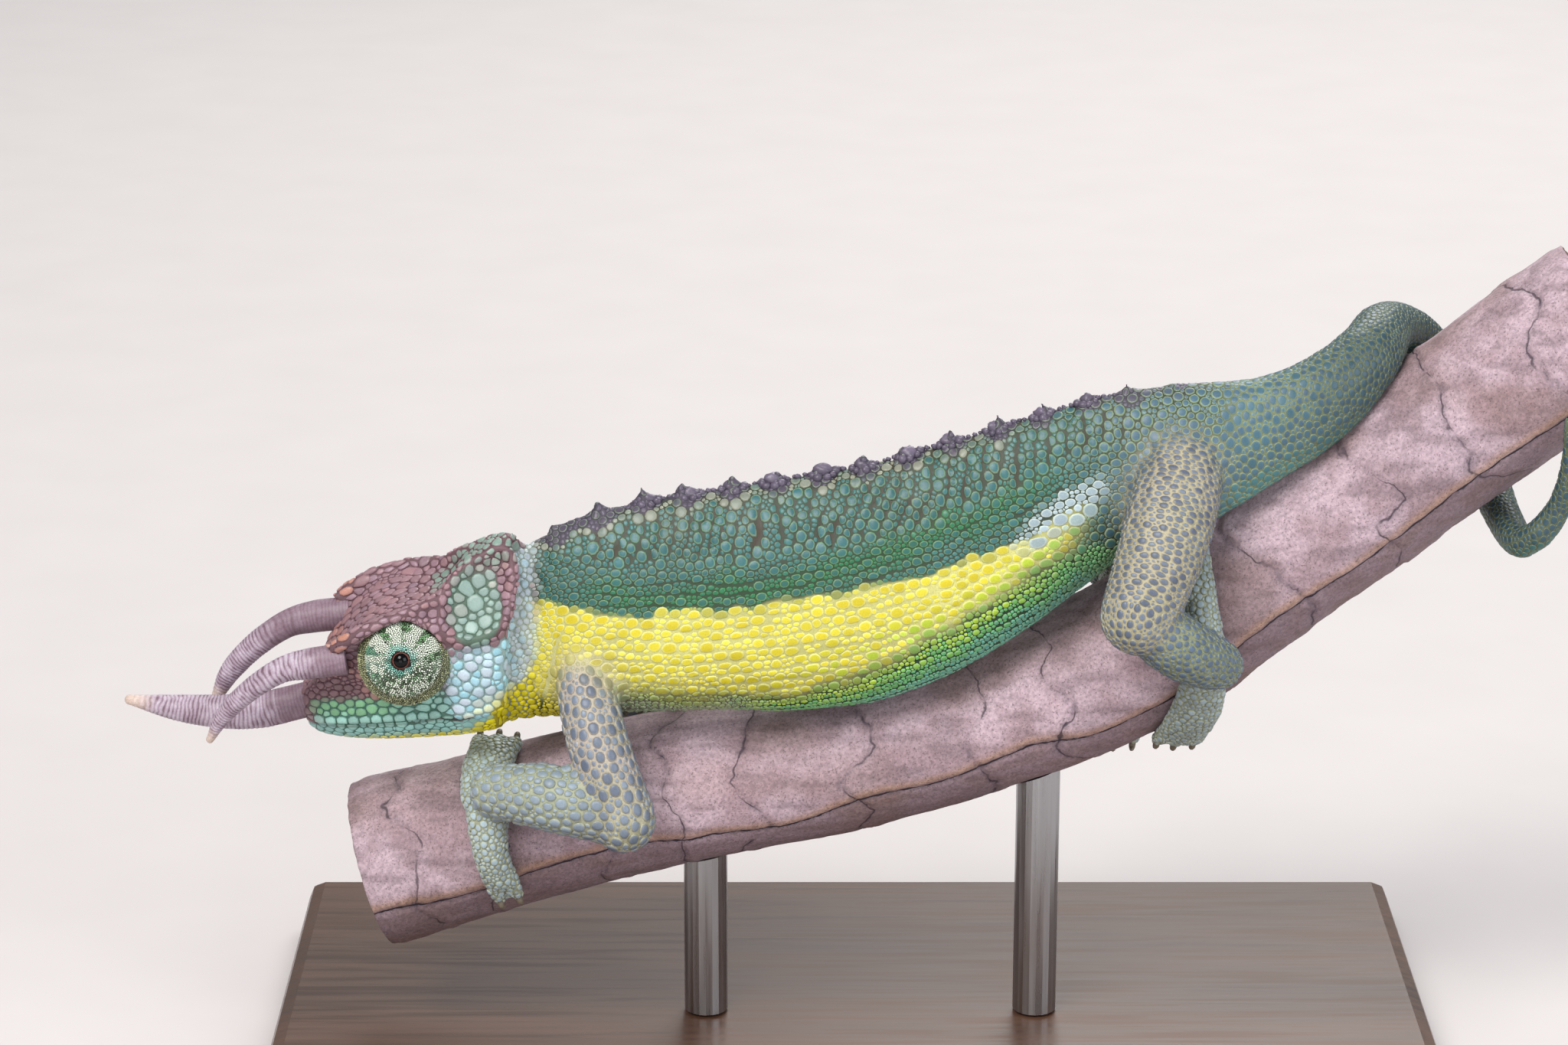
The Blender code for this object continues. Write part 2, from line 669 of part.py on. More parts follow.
def lid_fold(name, flip, home):
    """The skin fold round an eye's socket, a closed ring."""
    a, l, h = EYE_PLACE
    points = []
    for k in range(12):
        turn = 2 * math.pi * k / 12
        points.append((
            a + LID_FOLD_RADIUS * math.cos(turn),
            l + LID_FOLD_LEAN * math.cos(turn) + 0.2,
            h + LID_FOLD_RADIUS * 0.94 * math.sin(turn),
        ))
    return head_ring(name, flip(points), LID_FOLD_THICKNESS, home)


def make_jaw(home):
    rings = []
    total = (len(JAW_STATIONS) - 1) * 2
    for i in range(total + 1):
        a, half_width, depth = spline_point(JAW_STATIONS, i / total)
        half = (
            (0.0, -GAP / 2), (half_width * 0.6, -GAP / 2), (half_width, -GAP / 2), (half_width * 1.0, -0.3 * depth),
            (half_width * 0.85, -0.68 * depth), (half_width * 0.5, -0.93 * depth), (0.0, -depth),
        )
        ring = [head_point(a, l, h) for l, h in half]
        rings.append(ring + [head_point(a, -l, h) for l, h in half[-2:0:-1]])
    bm = bmesh.new()
    loft(bm, rings, end_bulge=0.3)
    return mesh_object("lower_jaw", bm, home, "skin_green")


def make_eye(side, sign, home):
    """The ball of fused lids with its low cone, and the eyeball that shows in its opening."""
    a, l, h = EYE_PLACE
    centre = head_point(a, l * sign, h)
    gaze = Vector(GAZE_LEFT if sign > 0 else GAZE_RIGHT).normalized()
    across = gaze.cross(Vector((0, 0, 1))).normalized()
    up = across.cross(gaze)
    bm = bmesh.new()
    rings = []
    for k in range(12):
        angle = math.pi * (0.96 - 0.885 * k / 11)
        reach = TURRET_RADIUS + TURRET_CONE * max(0.0, math.cos(angle)) ** 6
        centre_k = centre + gaze * reach * math.cos(angle)
        width = reach * math.sin(angle)
        rings.append(super_ring(centre_k, across, up, width, width, width, 2, 2, TURRET_SIDES))
    loft(bm, rings)
    turret = mesh_object(f"eye_turret_{side}", bm, home, "lid")
    apex = centre + gaze * (TURRET_RADIUS + TURRET_CONE)
    hole = ball_piece("hole", apex - gaze * (EYEBALL_RADIUS - 0.25), EYEBALL_RADIUS + GAP, cutters, 10)
    apply_modifier(turret, "BOOLEAN", operation="DIFFERENCE", object=hole)
    bpy.data.objects.remove(hole)
    keep_largest(turret)
    eyeball = ball_piece(f"eyeball_{side}", apex - gaze * (EYEBALL_RADIUS - 0.25), EYEBALL_RADIUS, home, 12, "eye")
    return turret, eyeball


def make_horn(name, points, radii, home):
    """A ringed horn, its root sunk into the head and cut clear of it later."""
    steps = HORN_RINGS * 2
    path, sizes = smooth_path([head_point(*p) for p in points], radii, steps)
    for i in range(steps + 1):
        if HORN_SMOOTH_BASE < i / steps < HORN_SMOOTH_TIP:
            sizes[i] *= 1.0 + HORN_RING_DEPTH * (1 if i % 2 else -1)
    path, sizes = add_dome(path, sizes, 1)
    return curve_tube(name, path, sizes, home, "horn", roundness=2)


def make_neck(home, head, jaw):
    """The neck runs from inside the back of the head to the trunk's first station."""
    first = trunk_ring(TRUNK_STATIONS[0][0] - GAP)
    rear = []
    for k in range(TRUNK_SIDES):
        angle = 2 * math.pi * k / TRUNK_SIDES
        across, along = math.cos(angle), math.sin(angle)
        a = 20.5 + 2.6 * max(0.0, along)
        rear.append(head_point(a, -across * 5.6, 7.2 + along * (9.0 if along > 0 else 11.6)))
    rings = []
    steps = 5
    for i in range(steps + 1):
        t = i / steps
        rings.append([p.lerp(q, t) for p, q in zip(rear, first)])
    bm = bmesh.new()
    loft(bm, rings)
    neck = mesh_object("neck", bm, home, "skin_green")
    cut_clear(neck, head, jaw, solver="MANIFOLD")
    return neck


def tail_path():
    free = [Vector(p) for p in TAIL_FREE]
    wrap = [round_branch(x, -angle, clearance) for x, angle, clearance in TAIL_WRAP]
    return free + wrap + [Vector(p) for p in TAIL_TIP]


def make_tail(home):
    """The tail in a few lengths, each a gap short of the next."""
    path = tail_path()
    sizes = [Vector((*pair, 0)) for pair in TAIL_FREE_RADII]
    sizes += [Vector((r, r, 0)) for r in TAIL_WRAP_RADII + TAIL_TIP_RADII]
    steps = TAIL_STEPS * (len(TAIL_CUTS) - 1)
    fine = 400
    centres = [spline_point(path, i / fine) for i in range(fine + 1)]
    reach = [0.0]
    for p, q in zip(centres, centres[1:]):
        reach.append(reach[-1] + (q - p).length)
    frames = frames_along(centres, Vector((0, 0, 1)))

    def ring_at(length):
        i = min(range(fine + 1), key=lambda k: abs(reach[k] - length))
        near = min(max(i, 1), fine - 1)
        step = (length - reach[i]) / max(reach[near + 1] - reach[near], 1e-6)
        t = min(max((i + step) / fine, 0.0), 1.0)
        size = spline_point(sizes, t)
        side, up = frames[i]
        away = min(length / TAIL_ROOT, 1.0)
        up = Vector((0, 0, 1)).lerp(up, away).normalized()
        side = (side - up * side.dot(up)).normalized()
        sharp = BACK_SHARPNESS + (TAIL_SHARPNESS - BACK_SHARPNESS) * away
        centre = spline_point(path, t)
        return super_ring(centre, side, up, size.x, size.y, size.y, sharp, TAIL_SHARPNESS, TAIL_SIDES)

    made = []
    for number, (start, end) in enumerate(zip(TAIL_CUTS, TAIL_CUTS[1:])):
        low = reach[-1] * start + GAP / 2
        high = reach[-1] * end - (GAP / 2 if end < 1 else 0.0)
        count = steps // (len(TAIL_CUTS) - 1)
        rings = [ring_at(low + (high - low) * k / count) for k in range(count + 1)]
        bulge = 0.0
        if end == 1.0:
            rings, bulge = rounded_end(rings, TAIL_TIP_RADII[-1], 1), 0.1
        bm = bmesh.new()
        loft(bm, rings, end_bulge=bulge)
        made.append(mesh_object(f"tail_{number + 1}", bm, home, "skin_green"))
    return made


def make_limb(name, points, radii, home):
    path, sizes = smooth_path([Vector(p) for p in points], radii, LIMB_STEPS)
    path, sizes = add_dome(path, sizes, 3)
    path, sizes = add_dome(path[::-1], sizes[::-1], 3)
    return curve_tube(name, path, sizes, home, "skin_leg", roundness=4)


def toe_bundle(name, toes, route, home):
    """A mitten of fused toes that follows the branch, with free toe ends and claws."""
    centres = [round_branch(x, angle, clearance) for x, angle, clearance in route]
    along = (centres[-1] - centres[-2]).normalized()
    axis_point = branch_axis(centres[-1].x)[0]
    outwards = (centres[-1] - axis_point).normalized()
    across = along.cross(outwards).normalized()
    half = TOE_SPACING * (toes - 1) / 2
    widths = (BUNDLE_THICKNESS[0], half + TOE_RADIUS * 1.05, half + TOE_RADIUS)
    pairs = list(zip(widths, BUNDLE_THICKNESS))
    rings = oval_rings(centres, pairs, BUNDLE_SIDES, 4, outwards)
    rings = rounded_end(rings, 0.8, 1)
    rings = rounded_end(rings[::-1], 1.6, 2)
    bm = bmesh.new()
    loft(bm, rings, end_bulge=0.2)
    bundle = mesh_object(name, bm, home, "skin_leg")
    pieces = []
    for k in range(toes):
        shift = across * TOE_SPACING * (k - (toes - 1) / 2)
        spread = across * 0.18 * (k - (toes - 1) / 2)
        reach = TOE_LENGTH * (1.0 if 0 < k < toes - 1 or toes == 2 else 0.86)
        root = centres[-1] + shift - along * 1.4 - outwards * 0.1
        tip = centres[-1] + shift + (along + spread).normalized() * reach - outwards * 0.35
        toe, sizes = smooth_path([root, (root + tip) / 2 + outwards * 0.2, tip], (1.05, TOE_RADIUS, 0.85), 2)
        pieces.append(curve_tube(f"{name}_toe_{k}", *add_dome(toe, sizes, 1), home))
        claw_end = tip + along * CLAW_LENGTH * 0.8 - outwards * CLAW_LENGTH * 0.25
        claw_mid = tip + along * CLAW_LENGTH * 0.45 + outwards * 0.25
        claw = [tip + outwards * 0.15, claw_mid, claw_end]
        pieces.append(curve_tube(f"{name}_claw_{k}", claw, CLAW_RADII, home))
    join_pieces(bundle, pieces, solver="MANIFOLD")
    return bundle


def make_branch(home):
    steps = (len(BRANCH) - 1) * BRANCH_STEPS
    pairs = [(radius, radius) for radius in BRANCH_RADII]
    rings = oval_rings([Vector(p) for p in BRANCH], pairs, BRANCH_SIDES, steps, Vector((0, 0, 1)))
    centres = [sum(ring, Vector()) / BRANCH_SIDES for ring in rings]
    lumpy = []
    for ring, centre in zip(rings, centres):
        lumpy.append([
            p + (p - centre).normalized() * BRANCH_LUMPS * noise.noise(p * 0.11)
            for p in ring
        ])
    bm = bmesh.new()
    loft(bm, lumpy)
    return mesh_object("perch_branch", bm, home, "bark")


def make_stand(home, branch):
    bpy.ops.mesh.primitive_cube_add(size=1.0, location=(0, 0, BASE_SIZE.z * MM / 2))
    base = bpy.context.object
    base.name = "stand_base"
    base.scale = BASE_SIZE * MM
    bpy.ops.object.transform_apply(location=False, rotation=False, scale=True)
    bevel = base.modifiers.new("Bevel", "BEVEL")
    bevel.width = BASE_CORNER * MM
    bevel.segments = 2
    base.data.materials.append(material("stand_wood"))
    move_to(base, home)
    made = [base]
    for name, x in RODS.items():
        centre = branch_axis(x)[0]
        foot = BASE_SIZE.z + GAP
        top = centre.z + TRUNK_AT.z
        place = Vector((x + TRUNK_AT.x, centre.y + TRUNK_AT.y, (foot + top) / 2)) * MM
        bpy.ops.mesh.primitive_cylinder_add(vertices=20, radius=ROD_RADIUS * MM, depth=(top - foot) * MM, location=place)
        rod = bpy.context.object
        rod.name = name
        rod.data.materials.append(material("stand_metal"))
        move_to(rod, home)
        bpy.ops.object.transform_apply(location=True)
        cut_clear(rod, branch)
        made.append(rod)
    return made


clear_scene()
model = collection("jacksons_chameleon")
cutters = collection("cutters")

trunk = make_trunk(model)
head = make_head(model)
jaw = make_jaw(model)
turret_left, eyeball_left = make_eye("left", 1, model)
turret_right, eyeball_right = make_eye("right", -1, model)
cut_clear(head, turret_left, turret_right)
neck = make_neck(model, head, jaw)
for horn in (
    make_horn("horn_nose", NOSE_HORN, NOSE_HORN_RADII, model),
    make_horn("horn_left", BROW_HORN, BROW_HORN_RADII_LEFT, model),
    make_horn("horn_right", mirrored(BROW_HORN), BROW_HORN_RADII_RIGHT, model),
):
    cut_clear(horn, head, jaw)
branch = make_branch(model)
tail = make_tail(model)
for length in tail:
    cut_clear(length, branch)
cut_clear(tail[0], trunk)
for limb, (upper_points, lower_points) in LIMBS.items():
    upper_radii, lower_radii = LIMB_RADII[limb.split("_")[0]]
    upper = make_limb(f"{limb}_upper", upper_points, upper_radii, model)
    cut_clear(upper, trunk, neck, branch)
    lower = make_limb(f"{limb}_lower", lower_points, lower_radii, model)
    cut_clear(lower, upper, trunk, branch)
    inner = toe_bundle(f"{limb}_toes_inner", *FEET[limb]["inner"], model)
    outer = toe_bundle(f"{limb}_toes_outer", *FEET[limb]["outer"], model)
    cut_clear(inner, lower, upper, trunk, branch, solver="MANIFOLD")
    cut_clear(outer, inner, lower, upper, trunk, branch, solver="MANIFOLD")
make_stand(model, branch)
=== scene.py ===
"""Looks of the Jackson's chameleon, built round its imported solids.

One skin stands for the flesh, with solid scales over it. Lids, eyeballs, horns, claws, the crest's
tubercles, the cut branch and the display stand are pieces of their own. Lengths are in millimetres
from the middle of the trunk, as in the part's source, and TRUNK_AT carries them into the shared frame.
"""

import math

import bmesh
import bpy
import numpy as np
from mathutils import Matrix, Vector
from mathutils.bvhtree import BVHTree
from mathutils.kdtree import KDTree


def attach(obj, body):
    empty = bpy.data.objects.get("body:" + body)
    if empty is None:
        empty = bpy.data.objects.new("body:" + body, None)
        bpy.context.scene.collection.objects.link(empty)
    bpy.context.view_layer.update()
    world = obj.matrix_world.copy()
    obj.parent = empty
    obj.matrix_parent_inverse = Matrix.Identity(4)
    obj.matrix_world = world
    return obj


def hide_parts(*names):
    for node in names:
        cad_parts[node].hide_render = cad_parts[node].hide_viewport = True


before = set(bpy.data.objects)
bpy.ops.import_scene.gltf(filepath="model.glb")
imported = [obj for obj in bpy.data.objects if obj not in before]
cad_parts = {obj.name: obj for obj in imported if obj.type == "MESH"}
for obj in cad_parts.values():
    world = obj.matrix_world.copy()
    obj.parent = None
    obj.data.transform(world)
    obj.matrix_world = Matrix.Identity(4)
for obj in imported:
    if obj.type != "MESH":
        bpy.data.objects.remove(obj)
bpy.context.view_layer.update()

MM = 0.001
TRUNK_AT = np.array((-8.0, -3.0, 67.0))

# Camera and light
LENS = 100.0
SENSOR = 36.0
CAMERA_DISTANCE = 0.482
CAMERA_TILT = math.radians(18.0)
WORLD_STRENGTH = 0.36

# Head frame: a runs back along the mouth line, l to the animal's left, h up.
MOUTH_FRONT = np.array((-53.6, 0.0, -22.8))
HEAD_PITCH = math.radians(10.0)
HEAD_ROLL = math.radians(11.0)
EYE_PLACE = (13.3, 5.3, 8.25)
TURRET_RADIUS = 4.77
TURRET_CONE = 0.8
EYE_GLOBE = 1.06
GAZES = {"left": (0.0, -0.955, 0.29), "right": (-0.42, 0.90, 0.08)}


def look_at_camera():
    """The photograph's view: from the animal's left, looking down a little."""
    bpy.ops.object.camera_add(rotation=(math.pi / 2 - CAMERA_TILT, 0.0, 0.0))
    camera = bpy.context.object
    camera.name = "camera"
    back = Vector((0.0, -math.cos(CAMERA_TILT), math.sin(CAMERA_TILT)))
    camera.location = Vector(TRUNK_AT * MM) + back * CAMERA_DISTANCE
    camera.data.lens = LENS
    camera.data.sensor_width = SENSOR
    bpy.context.scene.camera = camera


def soft_light(name, place, size, power, colour):
    """A square soft box that points at the animal."""
    bpy.ops.object.light_add(type="AREA", location=place)
    lamp = bpy.context.object
    lamp.name = name
    lamp.data.shape = "SQUARE"
    lamp.data.size = size
    lamp.data.energy = power
    lamp.data.color = colour
    aim = Vector(TRUNK_AT * MM) - Vector(place)
    lamp.rotation_euler = aim.to_track_quat("-Z", "Y").to_euler()


def studio():
    soft_light("key", (-0.35, -0.55, 0.85), 0.5, 10.0, (1.0, 0.97, 0.94))
    soft_light("fill", (0.65, -0.6, 0.45), 0.6, 4.0, (0.93, 0.96, 1.0))
    soft_light("rim", (0.2, 0.7, 0.7), 0.5, 6.0, (1.0, 0.98, 0.96))
    soft_light("low", (-0.1, -0.6, 0.05), 0.4, 0.8, (1.0, 0.97, 0.95))
    world = bpy.data.worlds.new("studio")
    bpy.context.scene.world = world
    world.use_nodes = True
    sky = world.node_tree.nodes["Background"]
    sky.inputs["Color"].default_value = (0.86, 0.88, 0.90, 1.0)
    sky.inputs["Strength"].default_value = WORLD_STRENGTH
    bpy.context.scene.view_settings.view_transform = "Standard"


class Value:
    """A shader value. Operators on it add the Math nodes that they stand for."""

    def __init__(self, finish, output):
        self.finish, self.output = finish, output

    def __add__(self, other):
        return self.finish.math("ADD", self, other)

    def __sub__(self, other):
        return self.finish.math("SUBTRACT", self, other)

    def __mul__(self, other):
        return self.finish.math("MULTIPLY", self, other)

    __radd__, __rmul__ = __add__, __mul__


class Finish:
    """A material in the making, on one Principled shader."""

    def __init__(self, name, roughness=0.5, specular=0.5, coat=0.0):
        self.material = bpy.data.materials.new(name)
        self.material.use_nodes = True
        self.tree = self.material.node_tree
        self.shader = self.tree.nodes["Principled BSDF"]
        self.shader.inputs["Roughness"].default_value = roughness
        self.shader.inputs["Specular IOR Level"].default_value = specular
        self.shader.inputs["Coat Weight"].default_value = coat
        self.shader.inputs["Coat Roughness"].default_value = 0.12
        self.place = self.node("ShaderNodeTexCoord", out="Object")

    def node(self, kind, settings=None, inputs=None, out=0):
        made = self.tree.nodes.new(kind)
        for name, value in (settings or {}).items():
            setattr(made, name, value)
        for socket, value in (inputs or {}).items():
            self.feed(made.inputs[socket], value)
        return Value(self, made.outputs[out])

    def feed(self, socket, value):
        if isinstance(value, Value):
            self.tree.links.new(value.output, socket)
        elif isinstance(value, tuple) and len(value) == 3 and socket.type == "RGBA":
            socket.default_value = (*value, 1.0)
        else:
            socket.default_value = value

    def set(self, socket, value):
        self.feed(self.shader.inputs[socket], value)

    def math(self, operation, first, second=0.0):
        return self.node("ShaderNodeMath", {"operation": operation}, {0: first, 1: second})

    def mix(self, share, first, second):
        return self.node("ShaderNodeMix", {"data_type": "RGBA"}, {0: share, 6: first, 7: second}, out=2)

    def scaled(self, colour, tone):
        """A colour made darker or lighter by a number."""
        return self.node("ShaderNodeVectorMath", {"operation": "SCALE"}, {0: colour, "Scale": tone})

    def attribute(self, name, out="Color"):
        return self.node("ShaderNodeAttribute", {"attribute_name": name}, out=out)

    def noise(self, per_mm, detail=3.0, rough=0.55, stretch=None):
        where = self.place
        if stretch:
            where = self.node("ShaderNodeMapping", inputs={"Vector": where, "Scale": stretch})
        sockets = {"Vector": where, "Scale": per_mm / MM, "Detail": detail, "Roughness": rough}
        return self.node("ShaderNodeTexNoise", inputs=sockets)

    def range(self, value, low, high, to_low=0.0, to_high=1.0):
        sockets = {0: value, 1: low, 2: high, 3: to_low, 4: to_high}
        return self.node("ShaderNodeMapRange", {"interpolation_type": "SMOOTHSTEP"}, sockets)

    def bump(self, height, depth_mm, strength):
        sockets = {"Height": height, "Distance": depth_mm * MM, "Strength": strength}
        return self.node("ShaderNodeBump", inputs=sockets)

    def give(self, obj, slot):
        """Makes this the object's only material. The slot is not used."""
        obj.data.materials.clear()
        obj.data.materials.append(self.material)


def tint(red, green, blue):
    """A colour of the screen, 0 to 255, as linear light."""
    def linear(level):
        share = level / 255.0
        return share / 12.92 if share <= 0.04045 else ((share + 0.055) / 1.055) ** 2.4
    return (linear(red), linear(green), linear(blue))


def smoothstep(low, high, x):
    t = np.clip((x - low) / (high - low), 0.0, 1.0)
    return t * t * (3.0 - 2.0 * t)


# Large numbers that scramble a cell's three numbers and its seed.
SCRAMBLE = (374761393, 668265263, 2147483647)
SCRAMBLE_SEED, SCRAMBLE_AGAIN = 1274126177, 1103515245


def lattice(cells, seed):
    """A number from 0 to 1 for each whole-numbered cell, always the same."""
    mixed = sum(cells[..., axis] * factor for axis, factor in enumerate(SCRAMBLE)) + seed * SCRAMBLE_SEED
    mixed = (mixed ^ (mixed >> 13)) * SCRAMBLE_AGAIN
    mixed = mixed ^ (mixed >> 16)
    return (mixed & 0xFFFF) / 65535.0


def soft_noise(points, size, seed=0):
    """Smooth noise from 0 to 1 with lumps of this size."""
    scaled = points / size
    low = np.floor(scaled).astype(np.int64)
    share = scaled - low
    share = share * share * (3.0 - 2.0 * share)
    total = np.zeros(len(points))
    for corner in range(8):
        step = np.array((corner & 1, corner >> 1 & 1, corner >> 2 & 1))
        weight = np.prod(np.where(step, share, 1.0 - share), axis=1)
        total += weight * lattice(low + step, seed)
    return total


def sway(points, size, seed, reach):
    """The same noise round 0, as wide as this reach."""
    return (soft_noise(points, size, seed) - 0.5) * reach


def unit(vectors):
    return vectors / np.maximum(np.linalg.norm(vectors, axis=-1, keepdims=True), 1e-12)


def turns(count, first=0.0):
    """Angles evenly round a circle."""
    return 2 * math.pi * (np.arange(count) + first) / count


def side_and_up(axis):
    """Two directions across an axis, the second as upright as it can be."""
    across = unit(np.cross(axis, (0.0, 0.0, 1.0)))
    return across, np.cross(across, axis)


def off_axis(offsets, axis):
    """What is left of offsets without their share along an axis."""
    return offsets - (offsets @ axis)[:, None] * axis


def head_axes():
    back = np.array((math.cos(HEAD_PITCH), 0.0, math.sin(HEAD_PITCH)))
    level_up = np.array((-math.sin(HEAD_PITCH), 0.0, math.cos(HEAD_PITCH)))
    near = np.array((0.0, -1.0, 0.0))
    up = level_up * math.cos(HEAD_ROLL) + near * math.sin(HEAD_ROLL)
    left = near * math.cos(HEAD_ROLL) - level_up * math.sin(HEAD_ROLL)
    return back, left, up


def head_point(a, l, h):
    back, left, up = head_axes()
    return MOUTH_FRONT + back * a + left * l + up * h


def in_head(points):
    """Head-frame a, l and h of points round the trunk."""
    offset = points - MOUTH_FRONT
    return tuple(offset @ axis for axis in head_axes())


def numbers(items, name, width=3, kind=np.float32):
    """One property of every item of a mesh, in rows of this width."""
    flat = np.empty(len(items) * width, kind)
    items.foreach_get(name, flat)
    return flat.reshape(-1, width)


def mesh_points(mesh):
    return numbers(mesh.vertices, "co").astype(float) / MM - TRUNK_AT


def set_places(mesh, points):
    mesh.vertices.foreach_set("co", ((points + TRUNK_AT) * MM).astype(np.float32).ravel())


def put_points(mesh, points):
    set_places(mesh, points)
    mesh.update()


def point_normals(mesh):
    return numbers(mesh.vertex_normals, "vector").astype(float)


def mesh_edges(mesh):
    return numbers(mesh.edges, "vertices", 2, np.int32)


def planted(points):
    """A tree that finds the nearest of these points."""
    tree = KDTree(len(points))
    for i, p in enumerate(points.tolist()):
        tree.insert(p, i)
    tree.balance()
    return tree


def neighbour_sum(column, edges):
    """For each point, the sum of this value over the points that it shares an edge with."""
    a, b = edges.T
    return np.bincount(a, column[b], len(column)) + np.bincount(b, column[a], len(column))


def smoothed(points, edges, strength, rounds):
    """Evens a surface out without shrinking it much. Strength is a number for each point."""
    shares = np.bincount(edges.ravel(), minlength=len(points))[:, None]
    for i in range(rounds * 2):
        total = np.empty_like(points)
        for axis in range(3):
            total[:, axis] = neighbour_sum(points[:, axis], edges)
        step = 0.5 if i % 2 == 0 else -0.52
        points = points + (total / shares - points) * strength[:, None] * step
    return points


FLESH = [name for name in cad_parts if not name.startswith(("eye", "horn", "perch", "stand"))]
KINDS = ("torso", "neck", "head", "jaw", "tail", "upper", "lower", "toes")
# How much the flesh is swollen before it is joined, how far the skin lies inside it, and its faces' size.
SWELL, SKIN_DEPTH, SKIN_VOXEL = 0.22, 0.12, 0.44
# How strongly each kind is smoothed, in the order of KINDS.
SMOOTHING = (1.0, 1.0, 0.35, 0.5, 1.0, 1.0, 1.0, 0.45)
TORSO, NECK, HEAD, JAW, TAIL, UPPER, LOWER, TOES = range(len(KINDS))
# The hind legs' nodes, as their places in FLESH.
HIND = [number for number, node in enumerate(FLESH) if node.startswith("hind")]


def kind_of(name):
    """The part of the body that a flesh node belongs to, as its place in KINDS."""
    return next(i for i, kind in enumerate(KINDS) if kind in name)


def flesh_mesh(name):
    """A merged copy of one CAD node, a little swollen, so that neighbours meet."""
    bm = bmesh.new()
    bm.from_mesh(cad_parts[name].data)
    bmesh.ops.remove_doubles(bm, verts=bm.verts, dist=1e-6)
    bm.normal_update()
    for vertex in bm.verts:
        vertex.co += vertex.normal * SWELL * MM
    return bm


def joined_flesh():
    """All flesh as one closed surface of even faces."""
    whole = bmesh.new()
    for name in FLESH:
        part = flesh_mesh(name)
        copy = bpy.data.meshes.new("flesh_copy")
        part.to_mesh(copy)
        part.free()
        whole.from_mesh(copy)
        bpy.data.meshes.remove(copy)
    mesh = bpy.data.meshes.new("skin")
    whole.to_mesh(mesh)
    whole.free()
    skin = bpy.data.objects.new("skin", mesh)
    bpy.context.scene.collection.objects.link(skin)
    remesh = skin.modifiers.new("even", "REMESH")
    remesh.mode = "VOXEL"
    remesh.voxel_size = SKIN_VOXEL * MM
    bpy.context.view_layer.objects.active = skin
    bpy.ops.object.modifier_apply(modifier="even")
    keep_outer_surface(skin.data)
    return skin


def keep_outer_surface(mesh):
    """Drops any closed scrap beside the largest surface."""
    edges = mesh_edges(mesh)
    label = np.arange(len(mesh.vertices))
    while True:
        low = np.minimum(label[edges[:, 0]], label[edges[:, 1]])
        new = label.copy()
        np.minimum.at(new, edges[:, 0], low)
        np.minimum.at(new, edges[:, 1], low)
        new = new[new]
        if (new == label).all():
            break
        label = new
    largest = np.bincount(label).argmax()
    bm = bmesh.new()
    bm.from_mesh(mesh)
    bm.verts.ensure_lookup_table()
    loose = [bm.verts[i] for i in np.flatnonzero(label != largest)]
    bmesh.ops.delete(bm, geom=loose, context="VERTS")
    bm.to_mesh(mesh)
    bm.free()


def flesh_finder():
    """A tree of the flesh nodes' faces, and the kind of each face."""
    corners, faces, kinds, names = [], [], [], []
    for number, name in enumerate(FLESH):
        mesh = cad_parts[name].data
        start = len(corners)
        corners += [tuple(p) for p in mesh_points(mesh)]
        faces += [tuple(start + v for v in polygon.vertices) for polygon in mesh.polygons]
        kinds += [kind_of(name)] * len(mesh.polygons)
        names += [number] * len(mesh.polygons)
    return BVHTree.FromPolygons(corners, faces), np.array(kinds), np.array(names)


def nearest_faces(tree, points):
    return np.array([tree.find_nearest(p)[2] for p in points])


def fold_lines(place, pitch, sharp=1.6):
    """From 0 on the flat to 1 in the crease, for folds this far apart."""
    return (0.5 - 0.5 * np.cos(2 * math.pi * place / pitch)) ** sharp


# The flank's upright columns and level rows of scales, and the top and foot of its yellow band.
COLUMN_PITCH, ROW_PITCH = 1.75, 1.28
BAND_X = (-25.6, -17.4, -8.7, 0.0, 8.7, 17.4, 26.0, 33.0)
BAND_TOP = (-7.6, -9.0, -8.1, -6.8, -5.4, -3.4, -0.1, 4.3)
BAND_FOOT = (-19.0, -17.5, -17.9, -18.0, -15.3, -10.0, -4.4, 0.0)


def lanes(points):
    """Where each point is across the flank's upright columns and level rows, and how marked those are."""
    x, _, z = points.T
    drift = sway(points, 5.5, 101, 2.6) + sway(points, 2.2, 102, 0.6)
    from_top = z - np.interp(x, BAND_X, BAND_TOP)
    column = x - 0.2 * z + drift
    row = z - 0.6 * np.interp(x, BAND_X, BAND_TOP) - 0.4 * np.interp(x, BAND_X, BAND_FOOT) + 0.4 * drift
    columns_on = smoothstep(4.2, 6.2, from_top + 0.5 * drift) * smoothstep(-27.0, -18.0, x)
    rows_on = smoothstep(4.6, 3.4, from_top + 0.5 * drift) * smoothstep(-26.0, -19.0, x)
    rows_on = rows_on * smoothstep(36.0, 28.0, x)
    return column, row, columns_on * smoothstep(44.0, 36.0, x), rows_on


def from_middle(place, pitch):
    return (place + pitch / 2) % pitch - pitch / 2


def furrows(points):
    """From 0 to 1 in the upright furrows of the upper flank."""
    column, _, on, _ = lanes(points)
    uneven = 0.35 + 0.65 * smoothstep(0.3, 0.65, soft_noise(points * np.array((1.0, 0.5, 0.5)), 2.4, 103))
    return on * uneven * fold_lines(column, COLUMN_PITCH, 5.0)


